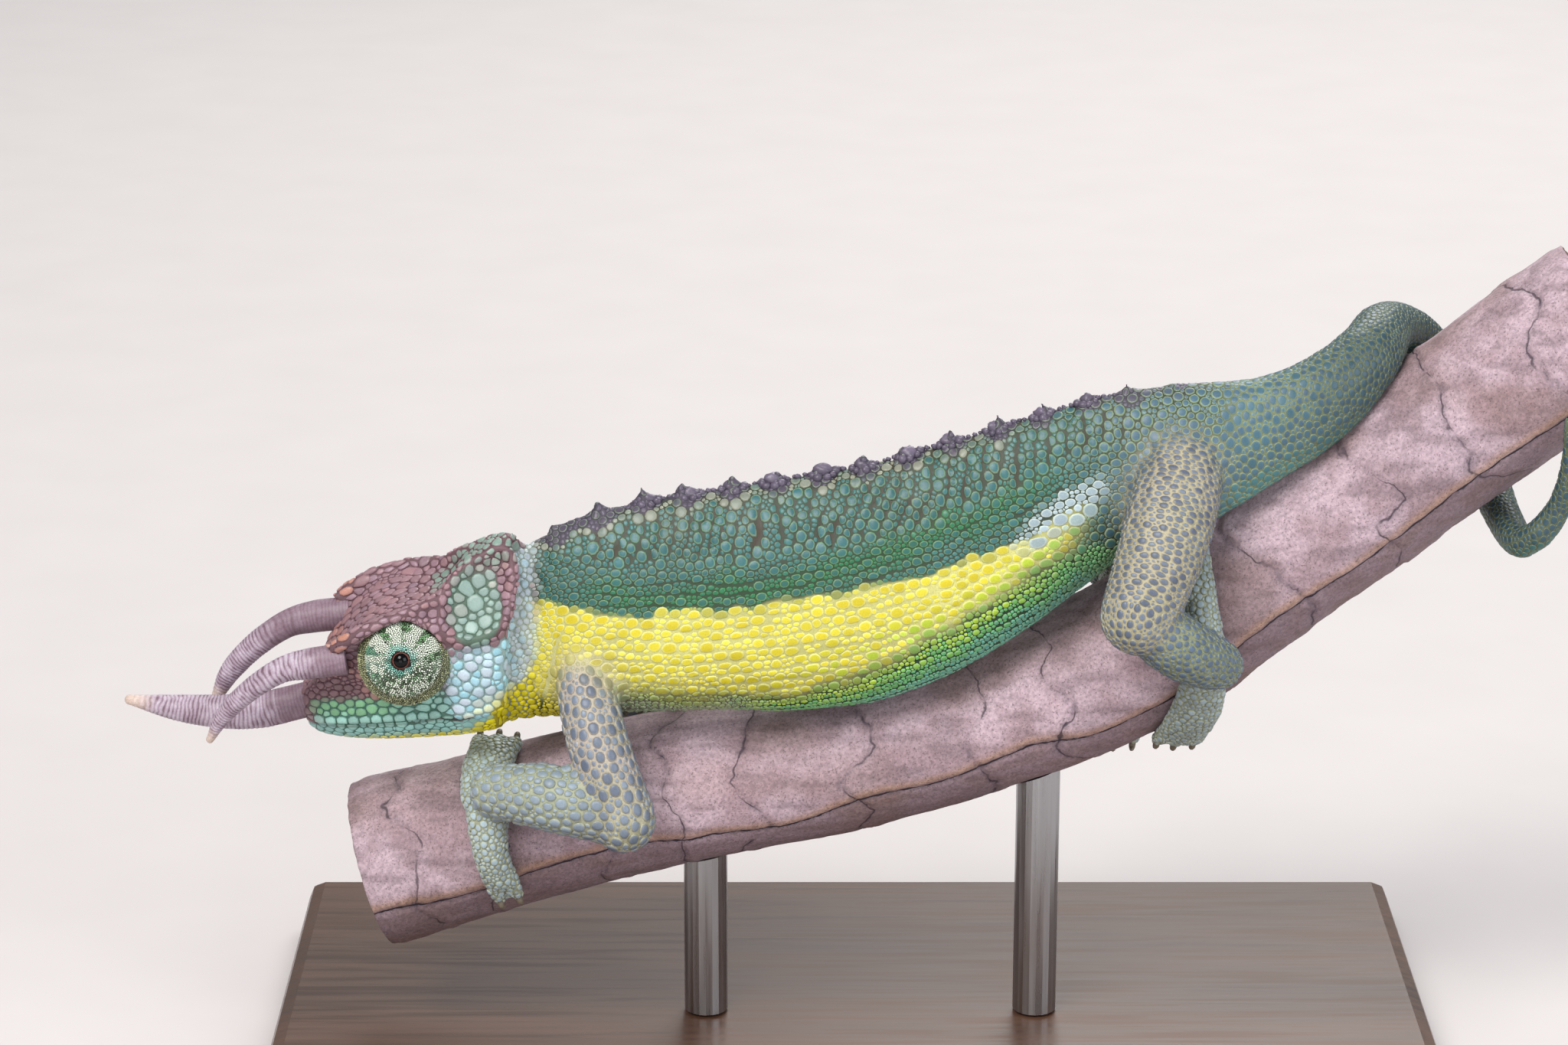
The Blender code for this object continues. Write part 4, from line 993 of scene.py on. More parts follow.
def head_rows(surface):
    """Plates placed one by one: lips, temple, casque rim, the ring round the eye and the horns' feet."""
    rows = [(first + pitch * k, h, size) for first, pitch, count, h, size in LIP_ROWS for k in range(count)]
    rows += [(*TEMPLE_AT, TEMPLE_MIDDLE)]
    rows += [(a, h, TEMPLE_PLATE) for a, h in ring_places(TEMPLE_AT, (1.55, 2.2), TEMPLE_LEAN, 6, 0.3)]
    rim_radii = (TEMPLE_RADII[0] + 0.75, TEMPLE_RADII[1] + 0.8)
    rows += [(a, h, CASQUE_RIM) for a, h in ring_places(TEMPLE_AT, rim_radii, TEMPLE_LEAN, 21)]
    outer = ring_places(TEMPLE_AT, (rim_radii[0] + 1.15, rim_radii[1] + 1.15), TEMPLE_LEAN, 28, 0.5)
    rows += [(a, h, CASQUE_OUTER) for a, h in outer if h > 9.5 or a > 21]
    eye = (EYE_PLACE[0], EYE_PLACE[2])
    rows += [(a, h, EYE_RING) for a, h in ring_places(eye, (6.2, 6.2), 0.0, 36) if h > 8.0]
    _, left, _ = head_axes()
    places, sizes = [], []
    for side in (1, -1):
        for a, h, size in rows:
            hit = surface.hit(head_point(a, BESIDE_HEAD * side, h), -left * side)
            if hit is not None:
                places.append(np.array(hit))
                sizes.append(size)
    for line, sign, radii, _ in HORNS.values():
        foot, further = (head_point(a, l * sign, h) for a, l, h in line[:2])
        ahead = unit(further - foot)
        across = unit(np.cross(ahead, (0.0, 1.0, 0.0)))
        over = np.cross(ahead, across)
        middle = foot + (further - foot) * 0.55
        turn = turns(10)
        around = middle + (radii[0] + 0.75) * (np.cos(turn)[:, None] * across + np.sin(turn)[:, None] * over)
        found, _, _ = surface.onto(around)
        near = np.linalg.norm(found - around, axis=1) < 1.2
        places += list(found[near])
        sizes += [HORN_FOOT] * int(near.sum())
    places, sizes = np.array(places), np.array(sizes)
    kept = []
    for i, place in enumerate(places):
        if all(np.linalg.norm(place - places[k]) > PLATE_GAP * (sizes[i] + sizes[k]) for k in kept):
            kept.append(i)
    return places[kept], sizes[kept]


def mouth_crease(points):
    """From 0 to 1 in the line of the mouth, deepest at its corner: how much painted shade the mouth line
    gets.
    """
    a, _, h = in_head(points)
    middle = np.interp(a, MOUTH_A, MOUTH_H)
    line = smoothstep(MOUTH_WIDTH, MOUTH_WIDTH * 0.3, np.abs(h - middle))
    return line * np.interp(a, (0.5, 2.0, 13.0, 15.6, 18.8, 19.8), (0.0, 0.35, 0.35, 0.95, 0.95, 0.0))


def deep_creases(points):
    """The line of the mouth, and the fold between the throat and the shoulder, which are sunk and painted
    dark as painted shade.
    """
    x, y, z = points.T
    waver = sway(points, 2.2, 26, 0.7)
    along_fold = SHOULDER_FOLD_X + SHOULDER_FOLD_SLOPE * (z - SHOULDER_FOLD_Z)
    line = smoothstep(0.3, 0.08, np.abs(x - along_fold + waver))
    fold = line * smoothstep(-10.5, -13.0, z) * smoothstep(2.0, 4.0, np.abs(y))
    return np.maximum(mouth_crease(points), 0.75 * fold)


def head_paint(points, draw, kind):
    """Inside, rim and groove colours of the head, jaw and neck. The grooves are darkened rim colours, as
    painted shade in the gaps.
    """
    a, l, h = in_head(points)
    side = np.abs(l)
    wobble = sway(points, 1.4, 21, 1.2)
    rusty = smoothstep(0.35, 0.65, soft_noise(points, 3.2, 25)) * smoothstep(9.5, 12.0, h)
    inner = blend("crown", "crown_pink", 0.3 * draw + 0.55 * rusty)
    rim = INK["crown_rim"] * 0.95
    groove = INK["crown_rim"] * 0.62
    low_front = smoothstep(8.2, 6.0, h) * smoothstep(9.0, 6.5, a)
    inner = blend(inner, "snout", low_front * 0.85)
    pits = smoothstep(0.62, 0.75, soft_noise(points, 2.4, 22)) * smoothstep(9.0, 11.0, h) * 0.5
    middle = smoothstep(15.0, 17.0, a) * smoothstep(12.5, 14.0, h)
    middle = middle * smoothstep(2.9, 2.1, side + 0.4 * wobble)
    inner = blend(inner, "parietal", np.maximum(pits, middle * 0.85))
    lips = smoothstep(3.7, 2.7, h + wobble * 0.5 - 0.06 * a) * smoothstep(0.5, 2.5, a)
    lip_tint = blend("lip", "lip_green", smoothstep(1.5, 2.1, h) * smoothstep(13, 9, a) * 0.85)
    inner, rim = lay(inner, rim, lips, lip_tint, "lip_rim")
    cheek = smoothstep(16.2, 18.0, a + wobble * 0.5) * smoothstep(9.6, 8.4, h + wobble * 0.6)
    lilac = blend("cheek", "cheek_lilac", smoothstep(0.3, 0.8, draw))
    inner, rim = lay(inner, rim, cheek, lilac, "cheek_rim")
    creamy = cheek * smoothstep(2.6, 0.6, h - 0.5 * (a - 20.0)) * smoothstep(17.0, 20.0, a) * (draw > 0.35)
    inner = blend(inner, "yellow_pale", creamy * 0.6)
    groove = blend(groove, INK["cheek_rim"] * 0.85, cheek)
    groove = blend(groove, INK["lip_rim"] * 0.7, lips * (1 - cheek))
    ring = temple_ring(a, h)
    plates = smoothstep(2.4, 2.1, ring) * smoothstep(1.5, 3.0, side) * smoothstep(16.0, 17.5, a)
    plates = plates * (1 - cheek)
    mauve = blend("purple", "crown", draw * 0.6)
    inner, rim = lay(inner, rim, plates, mauve, "crown_rim")
    round_eye = smoothstep(7.4, 6.6, np.hypot(a - EYE_PLACE[0], h - EYE_PLACE[2])) * smoothstep(7.0, 9.0, h)
    inner = blend(inner, mauve, round_eye)
    temple = smoothstep(1.12, 1.0, ring) * smoothstep(1.5, 3.0, side)
    plate = blend("temple", "peach", smoothstep(0.6, 1.0, draw) * 0.5)
    inner, rim = lay(inner, rim, temple, plate, "temple_rim")
    groove = blend(groove, INK["temple_rim"] * 0.6, temple)
    in_jaw = kind == JAW
    inner[in_jaw], rim[in_jaw] = INK["jaw"], blend("jaw", "lip_rim", 0.4)
    strip = smoothstep(-1.4, -2.3, h + wobble * 0.3) * in_jaw
    inner, rim = lay(inner, rim, strip, "throat", "yellow_pale")
    neck = kind == NECK
    pale = blend("neck", "cheek", smoothstep(0.5, 0.9, draw) * 0.5)
    inner[neck], rim[neck] = pale[neck], INK["white_rim"]
    bright = throat_share(points)
    inner, rim = lay(inner, rim, bright, "throat", "yellow_deep")
    groove = blend(groove, INK["yellow_deep"] * 0.5, bright)
    groove[neck] = INK["white_rim"] * 0.55
    # The skin in the mouth line is painted dark, as painted shade.
    return inner, rim, blend(groove, "crease_shade", mouth_crease(points))


def limb_paint(points, draw, kind, name):
    """Inside, rim and groove colours of the legs and feet. The grooves are the rims a little darkened, as
    painted shade in the gaps.
    """
    share, _ = limb_share(points, name)
    inner = blend("slate", "slate_dark", draw)
    rim = blend("tan", "peach", soft_noise(points, 4.0, 31))
    hind = np.isin(name, HIND)
    inner = inner * (1 - 0.14 * hind)[:, None]
    rim = blend(rim, "hind_net", 0.7 * hind)
    green = smoothstep(0.75, 1.5, share)
    inner = blend(inner, "hand", green * 0.7 * ~hind)
    rim = blend(rim, "hand_rim", green * ~hind)
    shin = smoothstep(0.9, 1.35, share) * hind
    inner, rim = lay(inner, rim, shin, "shin", "shin_rim")
    toes = kind == TOES
    foot = blend("hand", "hand_pale", 0.9 * draw) * (1 - 0.2 * hind)[:, None]
    inner[toes], rim[toes] = foot[toes], (INK["hand_rim"] * (1 - 0.1 * hind)[:, None])[toes]
    return inner, rim, rim * 0.9


def tail_paint(points, normals, draw):
    inner = blend("tail", "teal", draw * 0.4)
    shade = (1.0 - 0.5 * smoothstep(50.0, 64.0, points[:, 0]))[:, None]
    inner, rim = inner * shade, INK["tail_rim"] * shade
    under = smoothstep(-0.1, -0.7, normals[:, 2])
    inner = blend(inner, INK["tail_under"] * shade, under * 0.8)
    # The grooves are the rim colour darkened, as painted shade in the gaps between scales.
    return inner, rim, rim * 0.55


def body_paint(points, normals, kind, name, draw, big, shares):
    """The markings of the whole body, for skin and scales alike, soft over the borders of its parts."""
    mixed = None
    behind = shares[:, NECK] * smoothstep(PALE_NECK_END - NECK_BLUR, PALE_NECK_END + NECK_BLUR, points[:, 0])
    shares = shares.copy()
    shares[:, NECK] -= behind
    shares[:, TORSO] += behind
    for colours, parts in (
        (trunk_paint(points, draw, big), (TORSO,)),
        (head_paint(points, draw, kind), (HEAD, JAW, NECK)),
        (limb_paint(points, draw, kind, name), (UPPER, LOWER, TOES)),
        (tail_paint(points, normals, draw), (TAIL,)),
    ):
        share = shares[:, parts].sum(axis=1)[:, None]
        part = [colour * share for colour in colours]
        mixed = part if mixed is None else [a + b for a, b in zip(mixed, part)]
    return mixed


def coat_design(points, normals, kind, name):
    """Sizes, shares, stretch, lie and height of the scales at each place."""
    count = len(points)
    x, _, z = points.T
    plan = {
        "big": np.full(count, 0.62), "small": np.full(count, 0.32), "share": np.full(count, 0.34),
        "covered": np.ones(count), "stretch": np.full(count, 1.0), "height": np.full(count, 0.17),
        "along": np.tile(np.array((1.0, 0.0, 0.2)), (count, 1)), "reach": np.full(count, 1.45),
    }
    column, row, columns_on, rows_on = lanes(points)
    plan["column"], plan["row"] = from_middle(column, COLUMN_PITCH), from_middle(row, ROW_PITCH)
    on_trunk = (kind == TORSO).astype(float)
    plan["column_on"], plan["row_on"] = columns_on * on_trunk, rows_on * on_trunk
    back = back_line(x)
    plan["column_on"] *= smoothstep(0.9, 1.8, back - z)

    def put(here, **values):
        for key, value in values.items():
            plan[key][here] = value[here] if isinstance(value, np.ndarray) else value

    marks = flank_marks(points)
    trunk = kind == TORSO
    put(trunk & (marks["band"] > 0.5), big=0.7, small=0.4, share=0.5, stretch=1.16, height=0.11)
    put(trunk & (marks["below"] > 0.5), big=0.42, small=0.28, share=0.35, height=0.3)
    put(trunk & (hip_patch(points) > 0.45), big=0.86, small=0.5, share=0.7, height=0.12)
    put(trunk & (plan["column_on"] > 0.4), stretch=0.94, big=0.68, small=0.34, share=0.38)
    put(trunk & (np.abs(marks["from_top"] - 2.2) < 2.2), big=0.54, small=0.3, share=0.35, stretch=1.15)
    put(kind == NECK, big=0.48, small=0.32, share=0.5, height=0.35)
    put((kind == NECK) & (throat_share(points) > 0.5), big=0.52, small=0.38, share=0.6)
    put(trunk & (x < -24.5), big=0.46, small=0.3, share=0.4)
    put(kind == TAIL, big=np.interp(x, (48.0, 66.0), (0.6, 0.44)), small=0.32, share=0.5, stretch=0.93)
    a, l, h = in_head(points)
    head = kind == HEAD
    put(head, big=0.7, small=0.44, share=0.6, height=0.36, reach=1.95)
    plan["along"][head] = head_axes()[0]
    put(head & (h > 8.5) & (a < 15), big=0.72, small=0.5, share=0.8, height=0.28, stretch=1.25, reach=1.4)
    put(head & (h > 3.0) & (h < 8.0) & (a < 9), big=0.5, small=0.34, share=0.5, stretch=1.15)
    around_eye = np.hypot(a - EYE_PLACE[0], h - EYE_PLACE[2])
    put(head & (around_eye < 5.6) & (np.abs(l) > 3.5), big=0.4, small=0.3, share=0.5, height=0.2, reach=1.5)
    put(head & (h < 3.2), big=0.62, small=0.45, share=0.8, stretch=1.12, height=0.3)
    put(head & (temple_ring(a, h) < 1.7), big=0.6, small=0.5, share=0.8, height=0.3)
    put(head & (temple_ring(a, h) < 1.05), big=0.7, small=0.5, share=0.5, height=0.2)
    put(kind == JAW, big=0.55, small=0.36, share=0.6, stretch=1.15)
    share, along = limb_share(points, name)
    limb = np.isin(kind, (UPPER, LOWER))
    hind = np.isin(name, HIND)
    over = np.cross(normals, along)
    put(limb, big=0.68, small=0.34, share=0.55, height=0.36, stretch=1.08, along=along)
    put(limb & hind & (share < 1.0), big=0.5, small=0.28, share=0.62, stretch=1.3, along=over)
    put(limb & hind & (share >= 1.0), big=0.5, small=0.3, share=0.6)
    put(kind == TOES, big=0.44, small=0.28, share=0.55, height=0.36)
    return plan


# Horns: their lines in the head's frame, with radii. The share of each that is smooth at its base.
NOSE_HORN = (
    (2.4, 0.0, 2.3), (-1.5, 0.0, 1.9), (-5.0, 0.0, 1.7),
    (-9.0, 0.0, 2.3), (-14.0, 0.0, 3.8), (-18.9, 0.0, 5.8),
)
BROW_HORN = (
    (6.9, 5.1, 9.3), (2.6, 5.2, 9.5), (-0.6, 5.1, 9.15),
    (-4.6, 5.0, 7.2), (-8.0, 4.8, 4.6), (-10.3, 4.6, 1.7),
)
HORNS = {
    "horn_nose": (NOSE_HORN, 1, (1.95, 2.0, 2.0, 1.9, 1.45, 0.55), 0.27),
    "horn_left": (BROW_HORN, 1, (1.75, 1.7, 1.4, 1.2, 0.95, 0.42), 0.15),
    "horn_right": (BROW_HORN, -1, (1.85, 1.8, 1.55, 1.4, 1.2, 0.62), 0.46),
}
RING_PITCH = 0.46
RING_DEPTH = 0.055
HORN_SIDES = 40
# Where the pale collar is, as a share of the horn's length.
HORN_COLLAR = 0.265

# Branch: axis points and radii.
BRANCH = (
    (-47.0, 5.0, -42.7), (-31.2, 5.0, -38.2), (-15.6, 5.0, -34.0), (8.6, 5.0, -29.2), (26.0, 5.0, -23.4),
    (40.8, 5.0, -16.3), (50.0, 5.0, -9.2), (62.4, 5.0, 0.4), (79.2, 5.0, 13.5), (91.0, 5.0, 22.6),
)
BRANCH_RADII = (9.9, 9.3, 8.9, 8.5, 8.7, 9.0, 9.2, 9.3, 9.5, 9.6)

# Toe bundles: the number of toes, and the way round the branch in places along X, angles and clearances.
TOE_BUNDLES = (
    (2, ((-31.2, 60.0, 4.4), (-32.2, 80.0, 3.1), (-32.2, 100.0, 1.9))),
    (3, ((-31.5, 54.0, 4.6), (-30.6, 36.0, 3.1), (-29.8, 14.0, 1.8))),
    (2, ((-11.2, -78.0, 4.6), (-10.8, -100.0, 3.0), (-10.4, -124.0, 1.75))),
    (3, ((-10.6, -70.0, 4.6), (-9.6, -50.0, 3.1), (-8.6, -30.0, 1.75))),
    (3, ((45.2, 98.0, 3.9), (42.6, 120.0, 2.6), (39.9, 149.0, 1.85))),
    (2, ((46.4, 88.0, 4.0), (48.6, 66.0, 2.9), (50.2, 40.0, 1.85))),
    (3, ((38.4, -98.0, 4.0), (36.4, -120.0, 2.8), (34.4, -146.0, 1.85))),
    (2, ((39.4, -88.0, 4.0), (41.0, -64.0, 2.9), (42.4, -38.0, 1.85))),
)
TOE_SPACING = 1.75
TOE_LENGTH = 2.4
CLAW_LENGTH = 1.6


def curve_points(points, steps):
    """Evenly numbered points of the smooth curve through these ones."""
    stations = np.asarray(points, float)
    if stations.ndim == 1:
        stations = stations[:, None]
    last = len(stations) - 1
    place = np.linspace(0.0, last, steps + 1)
    i = np.minimum(place.astype(int), last - 1)
    u = (place - i)[:, None]
    before, after = 2 * stations[:1] - stations[1:2], 2 * stations[-1:] - stations[-2:-1]
    padded = np.concatenate([before, stations, after])
    p0, p1, p2, p3 = (padded[i + k] for k in range(4))
    square, cube = p0 * 2 - p1 * 5 + p2 * 4 - p3, p1 * 3 - p0 - p2 * 3 + p3
    return (p1 * 2 + (p2 - p0) * u + square * u**2 + cube * u**3) / 2


def path_frames(path, first_up):
    """Forward, side and up directions along a path, turning as little as they can."""
    forward = unit(np.gradient(path, axis=0))
    up = np.asarray(first_up, float)
    sides, ups = [], []
    for direction in forward:
        up = up - direction * (up @ direction)
        up = up / np.linalg.norm(up)
        sides.append(np.cross(direction, up))
        ups.append(up)
    return forward, np.array(sides), np.array(ups)


def grid_triangles(rows, columns, closed=False):
    """Triangles of a tube of rings. A closed one has the middle points of its two ends after the rings."""
    k = np.arange(columns)
    n = (k + 1) % columns
    faces = []
    for row in range(rows - 1):
        a, b = row * columns, (row + 1) * columns
        faces.append(np.stack([a + k, b + k, b + n], axis=1))
        faces.append(np.stack([a + k, b + n, a + n], axis=1))
    if closed:
        middle, end = np.full(columns, rows * columns), (rows - 1) * columns
        faces.append(np.stack([n, middle, k], axis=1))
        faces.append(np.stack([end + k, middle + 1, end + n], axis=1))
    return np.concatenate(faces)


def spokes(side, up, turn):
    """Directions out from each point of a path, at these angles."""
    return side[:, None] * np.cos(turn)[None, :, None] + up[:, None] * np.sin(turn)[None, :, None]


def tube_parts(path, radii, sides, first_up, relief=None):
    """Points and triangles of a closed tube. Relief lifts each point by a length."""
    _, side, up = path_frames(path, first_up)
    out = spokes(side, up, turns(sides))
    reach = np.repeat(np.asarray(radii, float)[:, None], sides, axis=1)
    if relief is not None:
        reach = reach + relief
    rings = path[:, None] + out * reach[..., None]
    points = np.concatenate([rings.reshape(-1, 3), path[:1], path[-1:]])
    triangles = grid_triangles(len(path), sides, closed=True)
    return points, triangles


def facing_out(points, triangles):
    """The triangles turned so that a closed shape has its faces outwards."""
    a, b, c = (points[triangles[:, k]] for k in range(3))
    volume = (np.cross(a, b) * c).sum()
    return triangles if volume > 0 else triangles[:, ::-1]


def domed(path, radii, steps):
    """The path and radii with a rounded end added."""
    ahead = unit(path[-1] - path[-2])
    turn = math.pi / 2 * np.arange(1, steps + 1) / (steps + 0.3)
    more = path[-1] + ahead * (radii[-1] * np.sin(turn))[:, None]
    return np.concatenate([path, more]), np.concatenate([radii, radii[-1] * np.cos(turn)])


def make_horn(name):
    """A horn of fine uneven rings, smooth at its base."""
    line, sign, radii, smooth_share = HORNS[name]
    line = [head_point(a, l * sign, h) for a, l, h in line]
    rough = curve_points(line, 60)
    length = np.linalg.norm(np.diff(rough, axis=0), axis=1).sum()
    steps = int(length / RING_PITCH * 6)
    path, sizes = curve_points(line, steps), curve_points(radii, steps)[:, 0]
    path, sizes = domed(path, sizes, 5)
    share, turn = np.linspace(0, 1, len(path))[:, None], turns(HORN_SIDES)[None]
    around = np.stack(np.broadcast_arrays(np.cos(turn), np.sin(turn), share * 14.0), axis=-1).reshape(-1, 3)

    def grain(size, number, stretch=(1.0, 1.0, 1.0)):
        noise = soft_noise(around * np.array(stretch), size, len(name) + number)
        return noise.reshape(len(path), HORN_SIDES)

    waver = grain(0.6, 0) - 0.5
    phase = share * length / RING_PITCH + waver * 0.9 + 1.6 * np.sin(share * 9.0)
    ridge = 0.5 + 0.5 * np.cos(2 * math.pi * phase)
    ringed = np.maximum(0.2, smoothstep(smooth_share - 0.08, smooth_share + 0.1, share + waver * 0.12))
    ringed = ringed * smoothstep(1.0, 0.95, share)
    strength = 0.5 + grain(1.1, 1)
    relief = RING_DEPTH * ringed * strength * (ridge**0.6 - 0.5) + 0.05 * waver
    points, triangles = tube_parts(path, sizes, HORN_SIDES, (0.0, 0.0, 1.0), relief)
    mottle, streak = grain(0.45, 2), grain(0.5, 3, (3.0, 3.0, 0.5))
    base = blend("horn_base", "horn_base_pale", streak.ravel() * 0.7)
    # The valleys between the rings are painted darker than the ridges, as painted shade in the grooves.
    ridge_tint = blend("horn", "horn_pale", mottle.ravel())
    valley_shade = blend("horn_groove", "horn", smoothstep(0.3, 0.75, mottle).ravel())
    rings = blend(valley_shade, ridge_tint, smoothstep(0.1, 0.6, ridge).ravel())
    colours = blend(base, rings, ringed.ravel())
    near_tip = smoothstep(0.86, 0.97, np.broadcast_to(share, mottle.shape)).ravel()
    colours = blend(colours, "horn_tip", near_tip * 0.8)
    collar = np.exp(-(((share + waver * 0.01 - HORN_COLLAR) / 0.006) ** 2)).ravel() * mottle.ravel()
    colours = blend(colours, "horn_pale", collar * 0.5)
    colours = np.concatenate([colours, colours[:1], colours[-1:]])
    return raw_piece(name + "_ringed", points, facing_out(points, triangles), colours)


def branch_axis(x):
    """The branch's axis above this X, the slope's up direction and the radius there."""
    fine = curve_points(BRANCH, 900)
    radii = curve_points(BRANCH_RADII, 900)[:, 0]
    i = int(np.abs(fine[:, 0] - x).argmin())
    ahead = unit(fine[min(i + 9, 900)] - fine[max(i - 9, 0)])
    return fine[i], np.array((-ahead[2], 0.0, ahead[0])), radii[i]


def round_branch(x, angle, clearance):
    """A point at this angle from the branch's top, positive towards the near side."""
    centre, up, radius = branch_axis(x)
    turn = math.radians(angle)
    out = up * math.cos(turn) + np.array((0.0, -1.0, 0.0)) * math.sin(turn)
    return centre + out * (radius + clearance)


def make_claws():
    """Every claw, curved down onto the bark."""
    points, triangles, colours = [], [], []
    start = 0
    for toes, route in TOE_BUNDLES:
        centres = [round_branch(*stop) for stop in route]
        along = unit(centres[-1] - centres[-2])
        outwards = unit(centres[-1] - branch_axis(centres[-1][0])[0])
        across = unit(np.cross(along, outwards))
        for k in range(toes):
            place = k - (toes - 1) / 2
            reach = TOE_LENGTH * (1.0 if 0 < k < toes - 1 or toes == 2 else 0.86)
            tip = centres[-1] + across * TOE_SPACING * place + unit(along + across * 0.18 * place) * reach
            root = tip - outwards * 0.25 + along * 0.25
            line = [root, root + along * 0.75 + outwards * 0.28, root + along * CLAW_LENGTH - outwards * 0.5]
            path = curve_points(line, 10)
            radii = curve_points((0.42, 0.34, 0.07), 10)[:, 0]
            part, faces = tube_parts(path, radii, 10, outwards)
            points.append(part)
            triangles.append(facing_out(part, faces) + start)
            start += len(part)
            shade = np.linspace(0.75, 1.25, len(path)).repeat(10)
            shade = np.concatenate([shade, [0.75, 1.25]])
            colours.append(INK["claw"][None] * shade[:, None])
    return raw_piece("claws", *(np.concatenate(part) for part in (points, triangles, colours)))


def lathe(name, profile, centre, axis, sides):
    """A piece turned round an axis from a profile of reach and depth along the axis."""
    axis = unit(np.asarray(axis, float))
    across, up = side_and_up(axis)
    turn = turns(sides)
    ring = across[None] * np.cos(turn)[:, None] + up[None] * np.sin(turn)[:, None]
    profile = np.asarray(profile, float)
    rings = centre + ring[None] * profile[:, 0, None, None] + axis * profile[:, 1, None, None]
    points = rings.reshape(-1, 3)
    ends = np.array([centre + axis * profile[0, 1], centre + axis * profile[-1, 1]])
    points = np.concatenate([points, ends])
    triangles = grid_triangles(len(profile), sides, closed=True)
    return raw_piece(name, points, facing_out(points, triangles), np.zeros((len(points), 3)))


def eye_frame(side):
    """Where the ball of lids is, and which way it looks."""
    a, l, h = EYE_PLACE
    return head_point(a, l if side == "left" else -l, h), unit(np.array(GAZES[side]))


def lid_profile():
    """From the hidden back of the ball, over the folds at its edge, to the opening."""
    stops = [(TURRET_RADIUS * math.sin(t), -TURRET_RADIUS * math.cos(t)) for t in np.linspace(0.15, 1.35, 8)]
    stops += [(5.05, 0.2), (5.16, 0.75), (5.02, 1.2), (4.86, 1.38), (4.83, 1.62), (4.68, 1.86), (4.54, 1.82)]
    stops += [(4.50, 2.02), (4.36, 2.22), (4.24, 2.18)]
    for t in np.linspace(1.02, 0.225, 26):
        reach = TURRET_RADIUS + TURRET_CONE * max(0.0, math.cos(t)) ** 6
        stops.append((reach * math.sin(t), reach * math.cos(t)))
    top = TURRET_RADIUS + TURRET_CONE
    opening = ((1.14, 0.2), (1.10, 0.06), (1.03, 0.05), (0.98, 0.16), (0.98, 0.6))
    return stops + [(reach, top - depth) for reach, depth in opening]


def lid_paint(chosen):
    """Wedges of white and green that run out from the opening, with olive folds at the edge."""
    points = chosen["points"]
    side = "left" if chosen["left"][0] else "right"
    centre, gaze = eye_frame(side)
    across, up = side_and_up(gaze)
    offset = points - centre
    x, y = offset @ across, offset @ up
    reach = np.hypot(x, y)
    turn = np.arctan2(y, x)
    draw = chosen["draw"]
    waver = sway(offset, 0.55, 41, 1.1) + (draw[:, 0] - 0.5) * 0.7
    wedge = np.cos(turn * 9 + waver * 1.2 + 0.9) + waver * 0.9
    widening = 0.85 * smoothstep(1.2, 4.2, reach)
    low = smoothstep(0.35, -0.5, np.sin(turn))
    mottled = smoothstep(0.5, 0.6, 0.5 * soft_noise(offset, 0.8, 42) + 0.5 * draw[:, 2])
    pale = smoothstep(-1.0, -0.35, wedge + 0.45 - widening) * (1 - low) + low * (0.05 + 0.95 * mottled)
    green = blend("lid_green", "lid_dark", smoothstep(0.35, 0.75, draw[:, 1] + 0.2 * low))
    inner = blend(green, "lid_white", pale)
    teal = smoothstep(0.1, 0.5, np.cos(turn) + waver * 0.3) * (1 - pale)
    teal = teal * smoothstep(0.5, -0.3, np.abs(np.sin(turn)) - 0.4)
    inner = blend(inner, INK["lid_cyan"] * 0.7, teal * 0.5)
    cyan = smoothstep(2.0, 1.25, reach + waver * 0.35)
    inner = blend(inner, "lid_cyan", cyan * 0.8)
    # A dark streak runs out across the opening's front and back: painted shade in the lids' creases at its
    # corners.
    crease = np.exp(-((y / 0.22) ** 2)) * smoothstep(2.4, 1.1, reach)
    inner = blend(inner, "lid_dark", crease * 0.75)
    edge = smoothstep(4.0, 4.35, reach)
    folds = blend("lid_olive", "lid_gold", smoothstep(0.4, 0.9, draw[:, 2]))
    folds = blend(folds, "lid_dark", smoothstep(0.6, 0.8, draw[:, 1]) * 0.5)
    inner = blend(inner, folds, edge)
    # The rim and gap colour is the inside colour darkened, as painted shade between the scales.
    return inner, inner * 0.6, inner


def lid_design(points, *_):
    """The lids' scales, finer round the opening and the edge, in rays that run out from the opening."""
    count = len(points)
    centre, gaze = eye_frame("left" if (points[:, 1].mean() < 0) else "right")
    depth = (points - centre) @ gaze
    spread = off_axis(points - centre, gaze)
    reach = np.linalg.norm(spread, axis=1)
    fine = np.interp(reach, (1.0, 1.6, 3.8, 4.5), (0.105, 0.125, 0.15, 0.125))
    shown = (depth > 0.9) & (reach > 1.16)
    return {
        "big": fine * 1.1, "small": fine * 0.9, "share": np.full(count, 0.5), "covered": shown.astype(float),
        "stretch": np.full(count, 1.1), "height": np.full(count, 0.5), "along": unit(spread),
        "reach": np.full(count, 1.45),
        **{lane: np.zeros(count) for lane in ("column", "row", "column_on", "row_on")},
    }


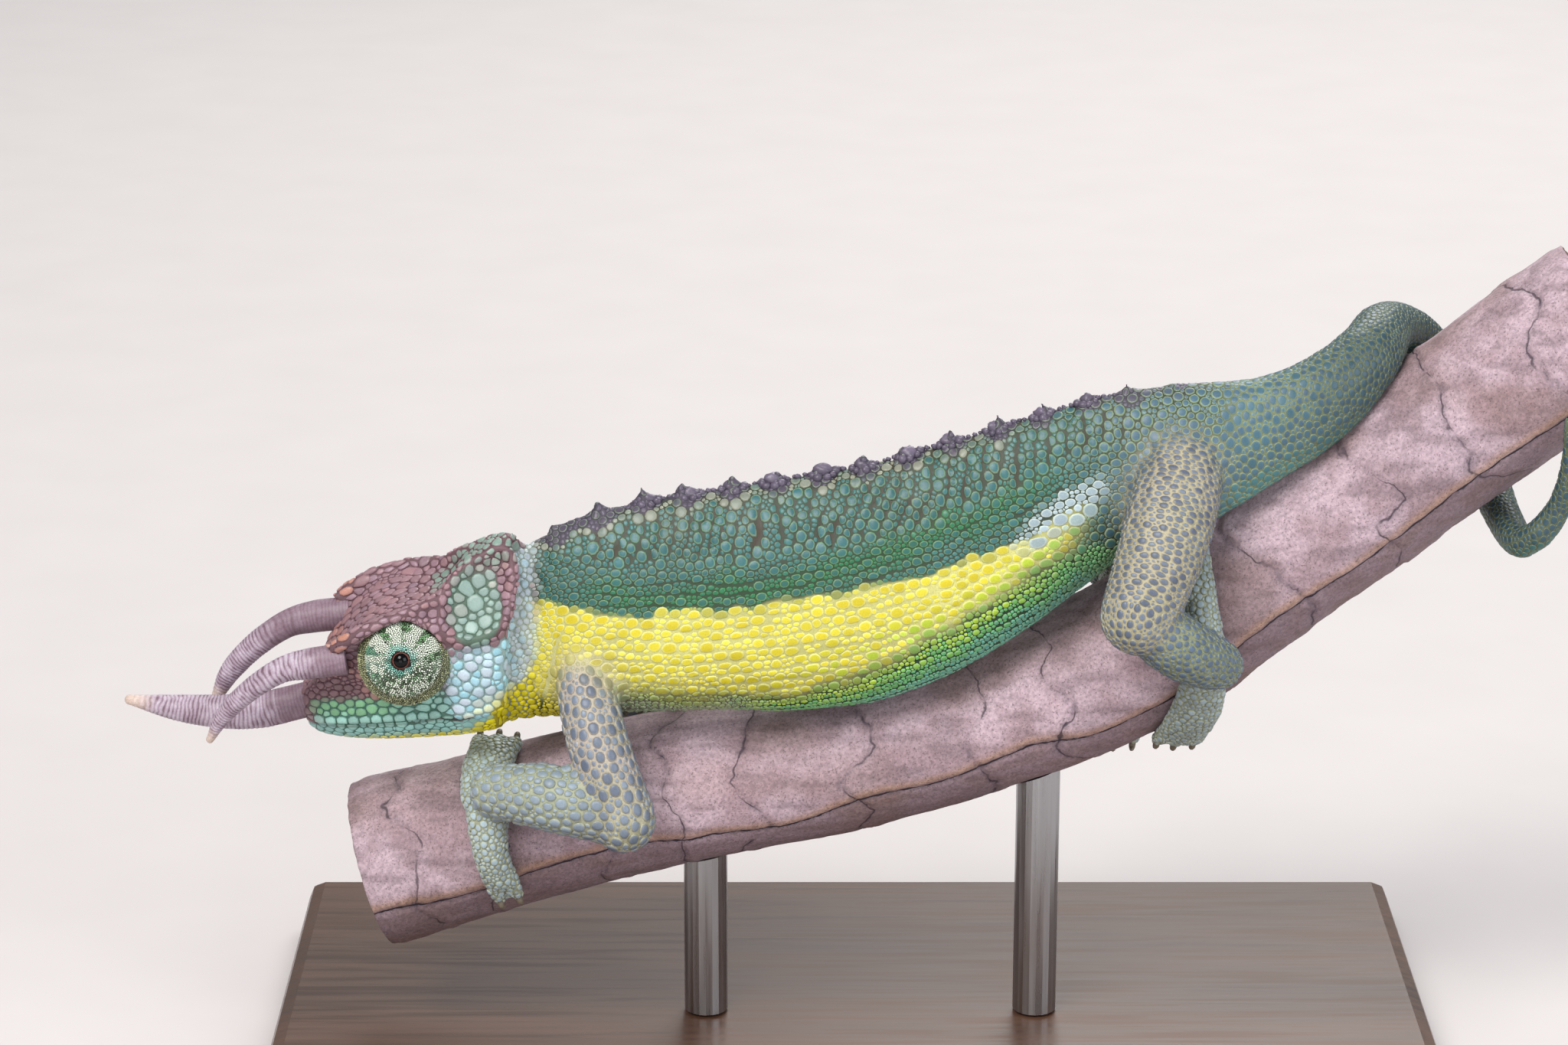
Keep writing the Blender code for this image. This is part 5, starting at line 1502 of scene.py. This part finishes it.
def make_eye(side):
    """The ball of fused lids with its fine scales, the ring of the opening and the eyeball in it."""
    centre, gaze = eye_frame(side)
    ball = lathe(f"lids_{side}", lid_profile(), centre, gaze, 96)
    blank = np.zeros(len(ball.data.vertices), int)
    face = Surface(ball, blank, blank)
    draws = np.full((len(face.points), 3), 0.5)
    chosen = {"points": face.points, "draw": draws, "left": np.full(len(face.points), side == "left")}
    offset = face.points - centre
    reach = np.linalg.norm(off_axis(offset, gaze), axis=1)
    at_ring = smoothstep(1.19, 1.14, reach) * (offset @ gaze > 0)
    # The ball under the lid scales shows in their gaps, in their darkened rim colour: painted shade.
    give_colours(ball.data, blend(lid_paint(chosen)[1] * 1.3, "lid_ring", at_ring))
    lid_scales = scatter(face, lid_design, 17, rounds=8)
    count = len(lid_scales["points"])
    lid_scales["left"] = np.full(count, side == "left")
    outline = cell_outlines(lid_scales, LID_SIDES, np.full(count, LID_GROOVE), np.full(count, ROUNDING))
    lid_scales["outline"] = {LID_SIDES: outline}

    def unroll(chosen):
        away = chosen["points"] - centre
        flat = np.stack([away @ axis for axis in side_and_up(gaze)], axis=1)
        return 0.5 + flat / (2.2 * TURRET_RADIUS + 1.2)

    title, pick = f"lid_scales_{side}", np.arange(count)
    coat = build_scales(title, face, lid_scales, pick, LID_SIDES, PEBBLE, lid_paint, unroll)
    top = centre + gaze * (TURRET_RADIUS + TURRET_CONE - EYE_GLOBE + 0.2)
    bpy.ops.mesh.primitive_uv_sphere_add(segments=64, ring_count=48, radius=EYE_GLOBE * MM)
    eyeball = bpy.context.object
    eyeball.name = f"eye_glossy_{side}"
    points = mesh_points(eyeball.data) + TRUNK_AT
    outwards = smoothstep(0.80, 0.84, np.linalg.norm(off_axis(points, gaze), axis=1))
    outwards = np.where(points @ gaze > 0, outwards, 1.0)
    put_points(eyeball.data, points + top)
    eyeball.data.shade_smooth()
    give_colours(eyeball.data, blend("pupil", "iris", outwards))
    return ball, coat, eyeball


# Bark: its mesh, the height of its lumps, and the places and widths of its cracks.
BARK_ROWS, BARK_COLUMNS = 520, 150
BARK_LUMPS = 0.3
# Rings of a cut end, from the rind to the middle, as shares of its radius.
END_RINGS = (0.97, 0.9, 0.75, 0.6, 0.45, 0.3, 0.15)
CRACK_ANGLE = 112.0
CRACK_WIDTH = 0.3
CROSS_WIDTH = 0.45
CROSS_CRACKS = (-53.0, -40.5, -33.0, -22.0, -12.5, -3.2, 8.5, 21.0, 30.5, 44.0, 55.0, 66.5, 75.0, 84.0, 97.0)


def bark_height(path_x, turn_degrees, round_it):
    """Relief of the bark in millimetres, and where its cracks, edges, joints and plates are."""
    lengthways, only_x = np.array((0.16, 1.0, 1.0)), np.array((1.0, 0.0, 0.0))
    height = sway(round_it, 7.0, 51, 2) * BARK_LUMPS - 0.1
    height += sway(round_it * lengthways, 1.5, 52, 0.22)
    height += sway(round_it * np.array((0.3, 1.0, 1.0)), 0.42, 53, 0.1)
    drift = sway(round_it * only_x, 9.0, 54, 16.0) + sway(round_it, 1.6, 55, 1.6)
    below = (turn_degrees - CRACK_ANGLE - drift) * math.pi / 180 * 9.0
    present = smoothstep(0.2, 0.35, soft_noise(round_it * only_x, 14.0, 56) + 0.3)
    crack = np.exp(-((below / CRACK_WIDTH) ** 2)) * present
    edge = np.exp(-(((below + 0.75) / 0.6) ** 2)) * present
    height += smoothstep(0.9, -1.6, below) * smoothstep(-14.0, -1.0, below) * 0.25 - 0.35 * crack
    joints, plate = np.zeros(len(path_x)), np.zeros(len(path_x))
    before, passed = None, np.zeros(len(path_x))
    for number, x in enumerate(CROSS_CRACKS):
        slant = sway(round_it * np.array((0.0, 1.0, 1.0)), 5.0, 60 + number, 7.0)
        off = path_x - x - slant - sway(round_it, 0.8, 61 + number, 0.7)
        broken = 0.25 + 0.75 * smoothstep(0.3, 0.55, soft_noise(round_it, 2.6, 90 + number))
        joints = np.maximum(joints, np.exp(-((off / CROSS_WIDTH) ** 2)) * broken)
        plate += smoothstep(-0.1, 0.1, off) * (lattice(np.array([[number, 3, 7]]), 5)[0] - 0.5) * 2.0
        height += 0.1 * np.exp(-(((off - 0.9) / 0.6) ** 2))
        if before is not None:
            passed += np.clip(before / np.maximum(before - off, 0.5), 0.0, 1.0)
        before = off
    height -= 0.16 * joints
    return height, crack, edge, joints, plate, below, passed


def make_branch():
    """The cut branch, with its bark in relief and bare wood at the two cut ends."""
    path = curve_points(BRANCH, BARK_ROWS)
    radii = curve_points(BRANCH_RADII, BARK_ROWS)[:, 0]
    rows = len(path)
    _, side, up = path_frames(path, (0.0, 0.0, 1.0))
    out = spokes(side, up, turns(BARK_COLUMNS))
    round_it = (path[:, None] + out * radii[:, None, None]).reshape(-1, 3)
    near = np.degrees(np.arctan2(-out[..., 1], (out * up[:, None]).sum(axis=2))).ravel()
    path_x = np.repeat(path[:, 0], BARK_COLUMNS)
    height, crack, edge, joints, plate, below, passed = bark_height(path_x, near, round_it)
    end_fade = np.minimum(np.arange(rows), np.arange(rows)[::-1]).repeat(BARK_COLUMNS)
    height = height * smoothstep(-1, 4, end_fade) - 0.35 * smoothstep(5, 0, end_fade)
    rings = path[:, None] + out * (radii[:, None] + height.reshape(rows, BARK_COLUMNS))[..., None]
    count = rows * BARK_COLUMNS
    cloud = soft_noise(round_it, 4.5, 71) * 0.6 + soft_noise(round_it, 1.5, 72) * 0.4
    stain = soft_noise(round_it * np.array((0.5, 1.0, 1.0)), 5.0, 78) + 0.2 * (cloud - 0.5)
    fibre = soft_noise(round_it * np.array((0.2, 1.0, 1.0)), 0.9, 76)
    colours = blend("bark", "bark_lilac", smoothstep(0.3, 0.7, cloud))
    under = smoothstep(0.0, 0.5, below)
    low = blend("bark_grey", "bark_brown", smoothstep(0.45, 0.75, fibre * 0.6 + cloud * 0.4))
    colours = blend(colours, low, under * 0.8)
    colours = blend(colours, "bark_grey", smoothstep(0.5, 0.8, fibre) * 0.55)
    colours = blend(colours, "bark_brown", smoothstep(0.5, 0.8, stain) * 0.45)
    colours = colours * np.clip(1.0 + 0.1 * plate, 0.86, 1.12)[:, None]
    colours = blend(colours, "bark_edge", np.clip(edge, 0, 1) * 0.7)
    dust = smoothstep(0.35, 0.65, soft_noise(round_it, 0.35, 77))
    colours = blend(colours, "bark_joint", joints * (0.2 + 0.4 * dust))
    colours = blend(colours, "bark_joint", crack * 0.6)
    points, colours = list(rings.reshape(-1, 3)), list(colours)
    triangles = [grid_triangles(rows, BARK_COLUMNS)]
    for row, forward in ((0, -1), (rows - 1, 1)):
        ahead = unit(path[min(row + 1, rows - 1)] - path[max(row - 1, 0)]) * forward
        inner = row * BARK_COLUMNS + np.arange(BARK_COLUMNS)
        for share in END_RINGS:
            start = len(points)
            ring = path[row] + (rings[row] - path[row]) * share
            rough = sway(ring, 0.9, 74, 0.22) - (0.12 if share == 0.9 else 0.0)
            points += list(ring + ahead * (0.1 + rough)[:, None])
            rind = share > 0.85
            growth = 0.8 + 0.3 * math.cos(share * 40.0) + sway(ring, 1.0, 75, 0.2)
            colours += list(INK["bark_brown" if rind else "bark_wood"] * growth[:, None])
            outer, inner = inner, start + np.arange(BARK_COLUMNS)
            n_outer, n_inner = np.roll(outer, -1), np.roll(inner, -1)
            pairs = ((outer, inner, n_inner), (outer, n_inner, n_outer))
            faces = np.concatenate([np.stack(corners, axis=1) for corners in pairs])
            triangles.append(faces if forward > 0 else faces[:, ::-1])
        tip = len(points)
        points.append(path[row] + ahead * 0.1)
        colours.append(INK["bark_brown"])
        cap = np.stack([inner, np.full(BARK_COLUMNS, tip), np.roll(inner, -1)], axis=1)
        triangles.append(cap if forward > 0 else cap[:, ::-1])
    triangles = np.concatenate(triangles)
    points, colours = np.array(points), np.array(colours)
    branch = raw_piece("branch_bark", points, triangles, colours)
    for name, values, beyond in (("below_crack", below, 9.0), ("plates_passed", passed, 0.5)):
        layer = branch.data.attributes.new(name, "FLOAT", "POINT")
        ends = np.full(len(points) - count, beyond)
        layer.data.foreach_set("value", np.append(values, ends).astype(np.float32))
    bm = bmesh.new()
    bm.from_mesh(branch.data)
    bmesh.ops.recalc_face_normals(bm, faces=bm.faces)
    bm.to_mesh(branch.data)
    bm.free()
    return branch


def bark_finish():
    """The bark's own colours with grain and specks, and its cracks as thin dark lines."""
    made = Finish("bark", 0.78)
    grain, specks = made.noise(2.4, detail=5.0, rough=0.65), made.noise(4.5, detail=2.0)
    waver, patchy = made.noise(0.9, detail=4.0), made.noise(0.22, detail=3.0)
    tone = made.range(grain, 0.25, 0.75, 0.68, 1.25)
    colour = made.scaled(made.attribute(PAINT), tone)
    colour = made.mix(made.range(specks, 0.57, 0.68) * 0.55, colour, tint(74, 58, 62))
    off_crack = made.math("ABSOLUTE", made.attribute("below_crack", "Fac") + (waver - 0.5) * 0.5)
    crack = made.range(off_crack, 0.05, 0.15, 1.0, 0.0)
    plates = made.attribute("plates_passed", "Fac") + (waver - 0.5) * 0.05
    off_joint = made.math("ABSOLUTE", made.math("FRACT", plates + 0.5) - 0.5)
    joint = made.range(off_joint, 0.004, 0.016, 1.0, 0.0) * made.range(patchy, 0.4, 0.55)
    lines = made.math("MAXIMUM", crack, joint * 0.75)
    made.set("Base Color", made.mix(lines, colour, tint(44, 34, 46)))
    made.set("Roughness", made.range(grain, 0.3, 0.7, 0.7, 0.88))
    made.set("Normal", made.bump(grain * 0.5 - lines, 0.1, 0.7))
    return made


def knob(base, place, sizes, lean, chance):
    """A wrinkled rounded tubercle."""
    turned = base * np.asarray(sizes)
    wrinkle = sway(base * 2.2 + chance.uniform(0, 50), 0.8, 91, 0.55)
    turned = turned * (1 + wrinkle[:, None])
    turned[:, 0] += turned[:, 2] * lean
    return turned + place


def round_ball(fineness):
    """Points and triangles of a ball of radius 1."""
    bm = bmesh.new()
    bmesh.ops.create_icosphere(bm, subdivisions=fineness, radius=1.0)
    points = np.array([v.co for v in bm.verts])
    triangles = np.array([[v.index for v in face.verts] for face in bm.faces])
    bm.free()
    return points, triangles


# Distance between the small tubercles along the spine.
SPINE_PITCH = 0.62


def make_crest():
    """Groups of dark tubercles along the spine, each a knob with smaller ones round its foot."""
    chance = np.random.RandomState(23)
    fine, coarse = round_ball(3), round_ball(2)
    points, triangles, colours = [], [], []
    start = 0

    def add(base, place, sizes, lean, pale):
        nonlocal start
        placed = knob(base[0], place, sizes, lean, chance)
        points.append(placed)
        triangles.append(base[1] + start)
        start += len(placed)
        # The top of each knob is painted paler, as a painted highlight.
        lift = smoothstep(0.0, 1.0, base[0][:, 2]) * pale
        shade = blend("crest", "crest_highlight", lift)
        colours.append(shade * chance.uniform(0.8, 1.15))

    for i in range(CREST_GROUPS):
        x = CREST_FROM + (CREST_TO - CREST_FROM) * i / (CREST_GROUPS - 1) + chance.uniform(-0.5, 0.5)
        fade = min(1.0, 0.6 + 0.25 * i, 0.5 + 0.15 * (CREST_GROUPS - 1 - i))
        size = fade * chance.uniform(0.8, 1.02)
        back = back_line(x)
        slope = (back_line(x + 1) - back_line(x - 1)) / 2
        add(fine, (x, 0.0, back - 0.2), (1.12 * size, 0.85 * size, 0.95 * size), -0.15, 0.35)
        for k in range(9):
            turn = 2 * math.pi * (k + chance.uniform(-0.2, 0.2)) / 9
            dx, dy = 1.35 * math.cos(turn) * size, 1.05 * math.sin(turn) * size
            small = chance.uniform(0.34, 0.52) * (0.6 + 0.4 * size)
            drop = 0.32 * abs(dy) ** 2 + 0.25
            add(coarse, (x + dx, dy, back + slope * dx - drop), (small * 1.15, small, small * 1.1), 0.0, 0.2)
    for i in range(int((CREST_TO + 3 - CREST_FROM) / SPINE_PITCH)):
        x = CREST_FROM + SPINE_PITCH * i + chance.uniform(-0.15, 0.15)
        back = back_line(x)
        small = chance.uniform(0.2, 0.34)
        y = chance.uniform(-0.25, 0.25)
        add(coarse, (x, y, back - 0.16 - 0.3 * y * y), (small * 1.2, small, small), -0.1, 0.15)
    return raw_piece("crest_tubercles", *(np.concatenate(part) for part in (points, triangles, colours)))


def stand_finishes():
    wood = Finish("dark_wood", 0.38, coat=0.25)
    rings = wood.noise(0.012, detail=5.0, rough=0.6, stretch=(0.16, 1.0, 1.6))
    fine = wood.noise(0.9, detail=2.0, stretch=(0.05, 1.0, 1.0))
    share = wood.range(rings + fine * 0.25, 0.38, 0.86)
    wood.set("Base Color", wood.mix(share, tint(52, 34, 26), tint(104, 72, 52)))
    wood.set("Roughness", wood.range(fine, 0.3, 0.7, 0.32, 0.5))
    wood.set("Normal", wood.bump(fine, 0.03, 0.4))
    steel = Finish("satin_steel", 0.3)
    brushed = steel.noise(1.6, detail=2.0, stretch=(1.0, 1.0, 0.03))
    steel.shader.inputs["Metallic"].default_value = 1.0
    steel.set("Base Color", steel.mix(brushed, tint(150, 150, 152), tint(192, 192, 194)))
    steel.set("Roughness", steel.range(brushed, 0.2, 0.8, 0.24, 0.4))
    steel.set("Normal", steel.bump(brushed, 0.01, 0.3))
    for name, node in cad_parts.items():
        if name.startswith("stand"):
            node.data.materials.clear()
            node.data.materials.append((wood if name == "stand_base" else steel).material)


def painted(name, roughness, fine_mm, shade=0.16, bump_mm=0.02, **settings):
    """A finish in the piece's own colours, with fine mottling and grain."""
    made = Finish(name, roughness, **settings)
    speckle = made.noise(1.0 / fine_mm, detail=4.0, rough=0.6)
    tone = made.range(speckle, 0.25, 0.75, 1.0 - shade, 1.0 + shade)
    colour = made.scaled(made.attribute(PAINT), tone)
    made.set("Base Color", colour)
    made.set("Roughness", made.range(speckle, 0.3, 0.7, roughness - 0.07, roughness + 0.1))
    made.set("Normal", made.bump(speckle, bump_mm, 0.6))
    return made


# Pieces of the coat: their kinds of flesh, and which side of the animal.
COATS = {
    "scales_head": ((HEAD, JAW, NECK), None),
    "scales_flank_left": ((TORSO,), -1),
    "scales_flank_right": ((TORSO,), 1),
    "scales_tail": ((TAIL,), None),
    "scales_legs": ((UPPER, LOWER), None),
    "scales_feet": ((TOES,), None),
}
SLOT_OF = {"scales_head": "skin_head", "scales_legs": "skin_limb", "scales_feet": "skin_limb"}
# Rings of a scale, from the skin to its top: reach, height, share of rim colour and of pale ring.
LOW_DOME = ((1.0, -1.0, 1.0, 0.0), (0.93, 0.55, 1.0, 0.0), (0.77, 0.9, 0.6, 0.75), (0.66, 1.0, 0.0, 0.0))
LEG_DOME = ((1.0, -1.0, 1.0, 0.0), (0.95, 0.4, 0.9, 0.0), (0.8, 0.85, 0.1, 0.0), (0.5, 1.0, 0.0, 0.0))
PEBBLE = ((1.0, -1.0, 1.0, 0.0), (0.84, 0.65, 0.7, 0.0), (0.5, 0.98, 0.15, 0.0))
LEG_PEBBLE = ((1.0, -1.0, 1.0, 0.0), (0.88, 0.55, 0.7, 0.0), (0.6, 0.98, 0.1, 0.0))


def unwrap_body(chosen):
    """Each scale's place on a flat sheet: each length of flesh unrolled round its long axis, in tiles."""
    nodes = np.unique(chosen["name"])
    tiles = math.ceil(math.sqrt(len(nodes)))
    where = np.zeros((len(chosen["name"]), 2))
    for number, node in enumerate(nodes):
        here = chosen["name"] == node
        whole = surface.points[surface.name == node]
        middle = whole.mean(axis=0)
        lie = np.linalg.eigh(np.cov((whole - middle).T))[1]
        ahead, across, up = ((chosen["points"][here] - middle) @ lie[:, k] for k in (2, 1, 0))
        along = (ahead - ahead.min()) / (np.ptp(ahead) + 1e-6)
        round_it = np.arctan2(across, up) / (2 * math.pi) + 0.5
        tile = np.array((number % tiles, number // tiles))
        where[here] = (tile + 0.03 + 0.94 * np.stack([along, round_it], axis=1)) / tiles
    return where


def paint_scales(chosen):
    where = (chosen[key] for key in ("points", "normals", "kind", "name"))
    inner, rim, _ = body_paint(*where, chosen["draw"][:, 1], chosen["big"], surface.shares[chosen["spot"]])
    tone = (0.82 + 0.36 * chosen["draw"][:, 0])[:, None]
    green = smoothstep(0.12, 0.05, np.abs(inner[:, 0] - inner[:, 1] * 0.35)) * (chosen["kind"] == TORSO)
    ring = blend(blend(inner, rim, 0.5) * 1.08, "ring", green * 0.8)
    return inner * tone, rim * tone, ring * tone


def place(piece, finish, slot, *nodes):
    finish.give(piece, slot)
    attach(piece, "root")
    if nodes:
        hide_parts(*nodes)


skin, skin_kind, skin_name, skin_shares = make_skin()
surface = Surface(skin, skin_kind, skin_name, skin_shares)
scales = scatter(surface, coat_design, 7, 14, head_rows(surface))
on_head = np.isin(scales["kind"], (HEAD, JAW))
groove = GROOVE + LEG_GROOVE * np.isin(scales["kind"], (UPPER, LOWER))
rounding = np.where(on_head, HEAD_ROUNDING, ROUNDING)
outlines = {sides: cell_outlines(scales, sides, groove, rounding) for sides in (BIG_SIDES, SMALL_SIDES)}
scales["outline"] = outlines

scale_finish = painted("scales", 0.42, 0.12, shade=0.12, bump_mm=0.012, coat=0.06)
skin_finish = painted("skin", 0.55, 0.15)
horn_finish = painted("ringed_horn", 0.5, 0.2)
lid_finish = painted("lids", 0.42, 0.08, shade=0.1, bump_mm=0.008)
eye_finish = Finish("eye", 0.03, specular=0.2, coat=0.1)
eye_finish.set("Base Color", eye_finish.attribute(PAINT))
eye_finish.shader.inputs["Coat Roughness"].default_value = 0.02

blank = np.zeros(len(skin_kind), bool)
middling = np.full(len(blank), 0.5)
ground = body_paint(surface.points, surface.normals, skin_kind, skin_name, middling, blank, skin_shares)
# The skin shows in the gaps between scales and takes the groove colours, which carry painted shade.
give_colours(skin.data, ground[2])
place(skin, skin_finish, "skin_body", *FLESH)

for name, (kinds, side) in COATS.items():
    here = np.isin(scales["kind"], kinds)
    if side:
        here &= np.sign(scales["points"][:, 1] + 1e-9) == side
    for grade, sides, levels in (("big", BIG_SIDES, LOW_DOME), ("small", SMALL_SIDES, PEBBLE)):
        pick = np.flatnonzero(here & (scales["big"] == (grade == "big")))
        if name in ("scales_head", "scales_legs", "scales_tail"):
            levels = LEG_DOME if grade == "big" else LEG_PEBBLE
        creases = deep_creases if name == "scales_head" or "flank" in name else None
        title = f"{name}_{grade}"
        piece = build_scales(title, surface, scales, pick, sides, levels, paint_scales, unwrap_body, creases)
        place(piece, scale_finish, SLOT_OF.get(name, "skin_body"))

for side in ("left", "right"):
    ball, lid_coat, eyeball = make_eye(side)
    place(ball, lid_finish, "eyelid", f"eye_turret_{side}")
    place(lid_coat, lid_finish, "eyelid")
    place(eyeball, eye_finish, "eyeball", f"eyeball_{side}")
for name in HORNS:
    place(make_horn(name), horn_finish, "horn", name)
place(make_claws(), horn_finish, "horn")
place(make_crest(), scale_finish, "skin_body")
place(make_branch(), bark_finish(), "bark", "perch_branch")
stand_finishes()

look_at_camera()
studio()
bpy.ops.mesh.primitive_plane_add(size=6.0)
floor = bpy.context.object
floor.name = "floor"
floor_finish = Finish("pale_floor", 0.8)
floor_speckle = floor_finish.noise(0.05, detail=2.0)
floor_finish.set("Base Color", floor_finish.mix(floor_speckle, tint(200, 195, 195), tint(206, 201, 201)))
floor.data.materials.append(floor_finish.material)
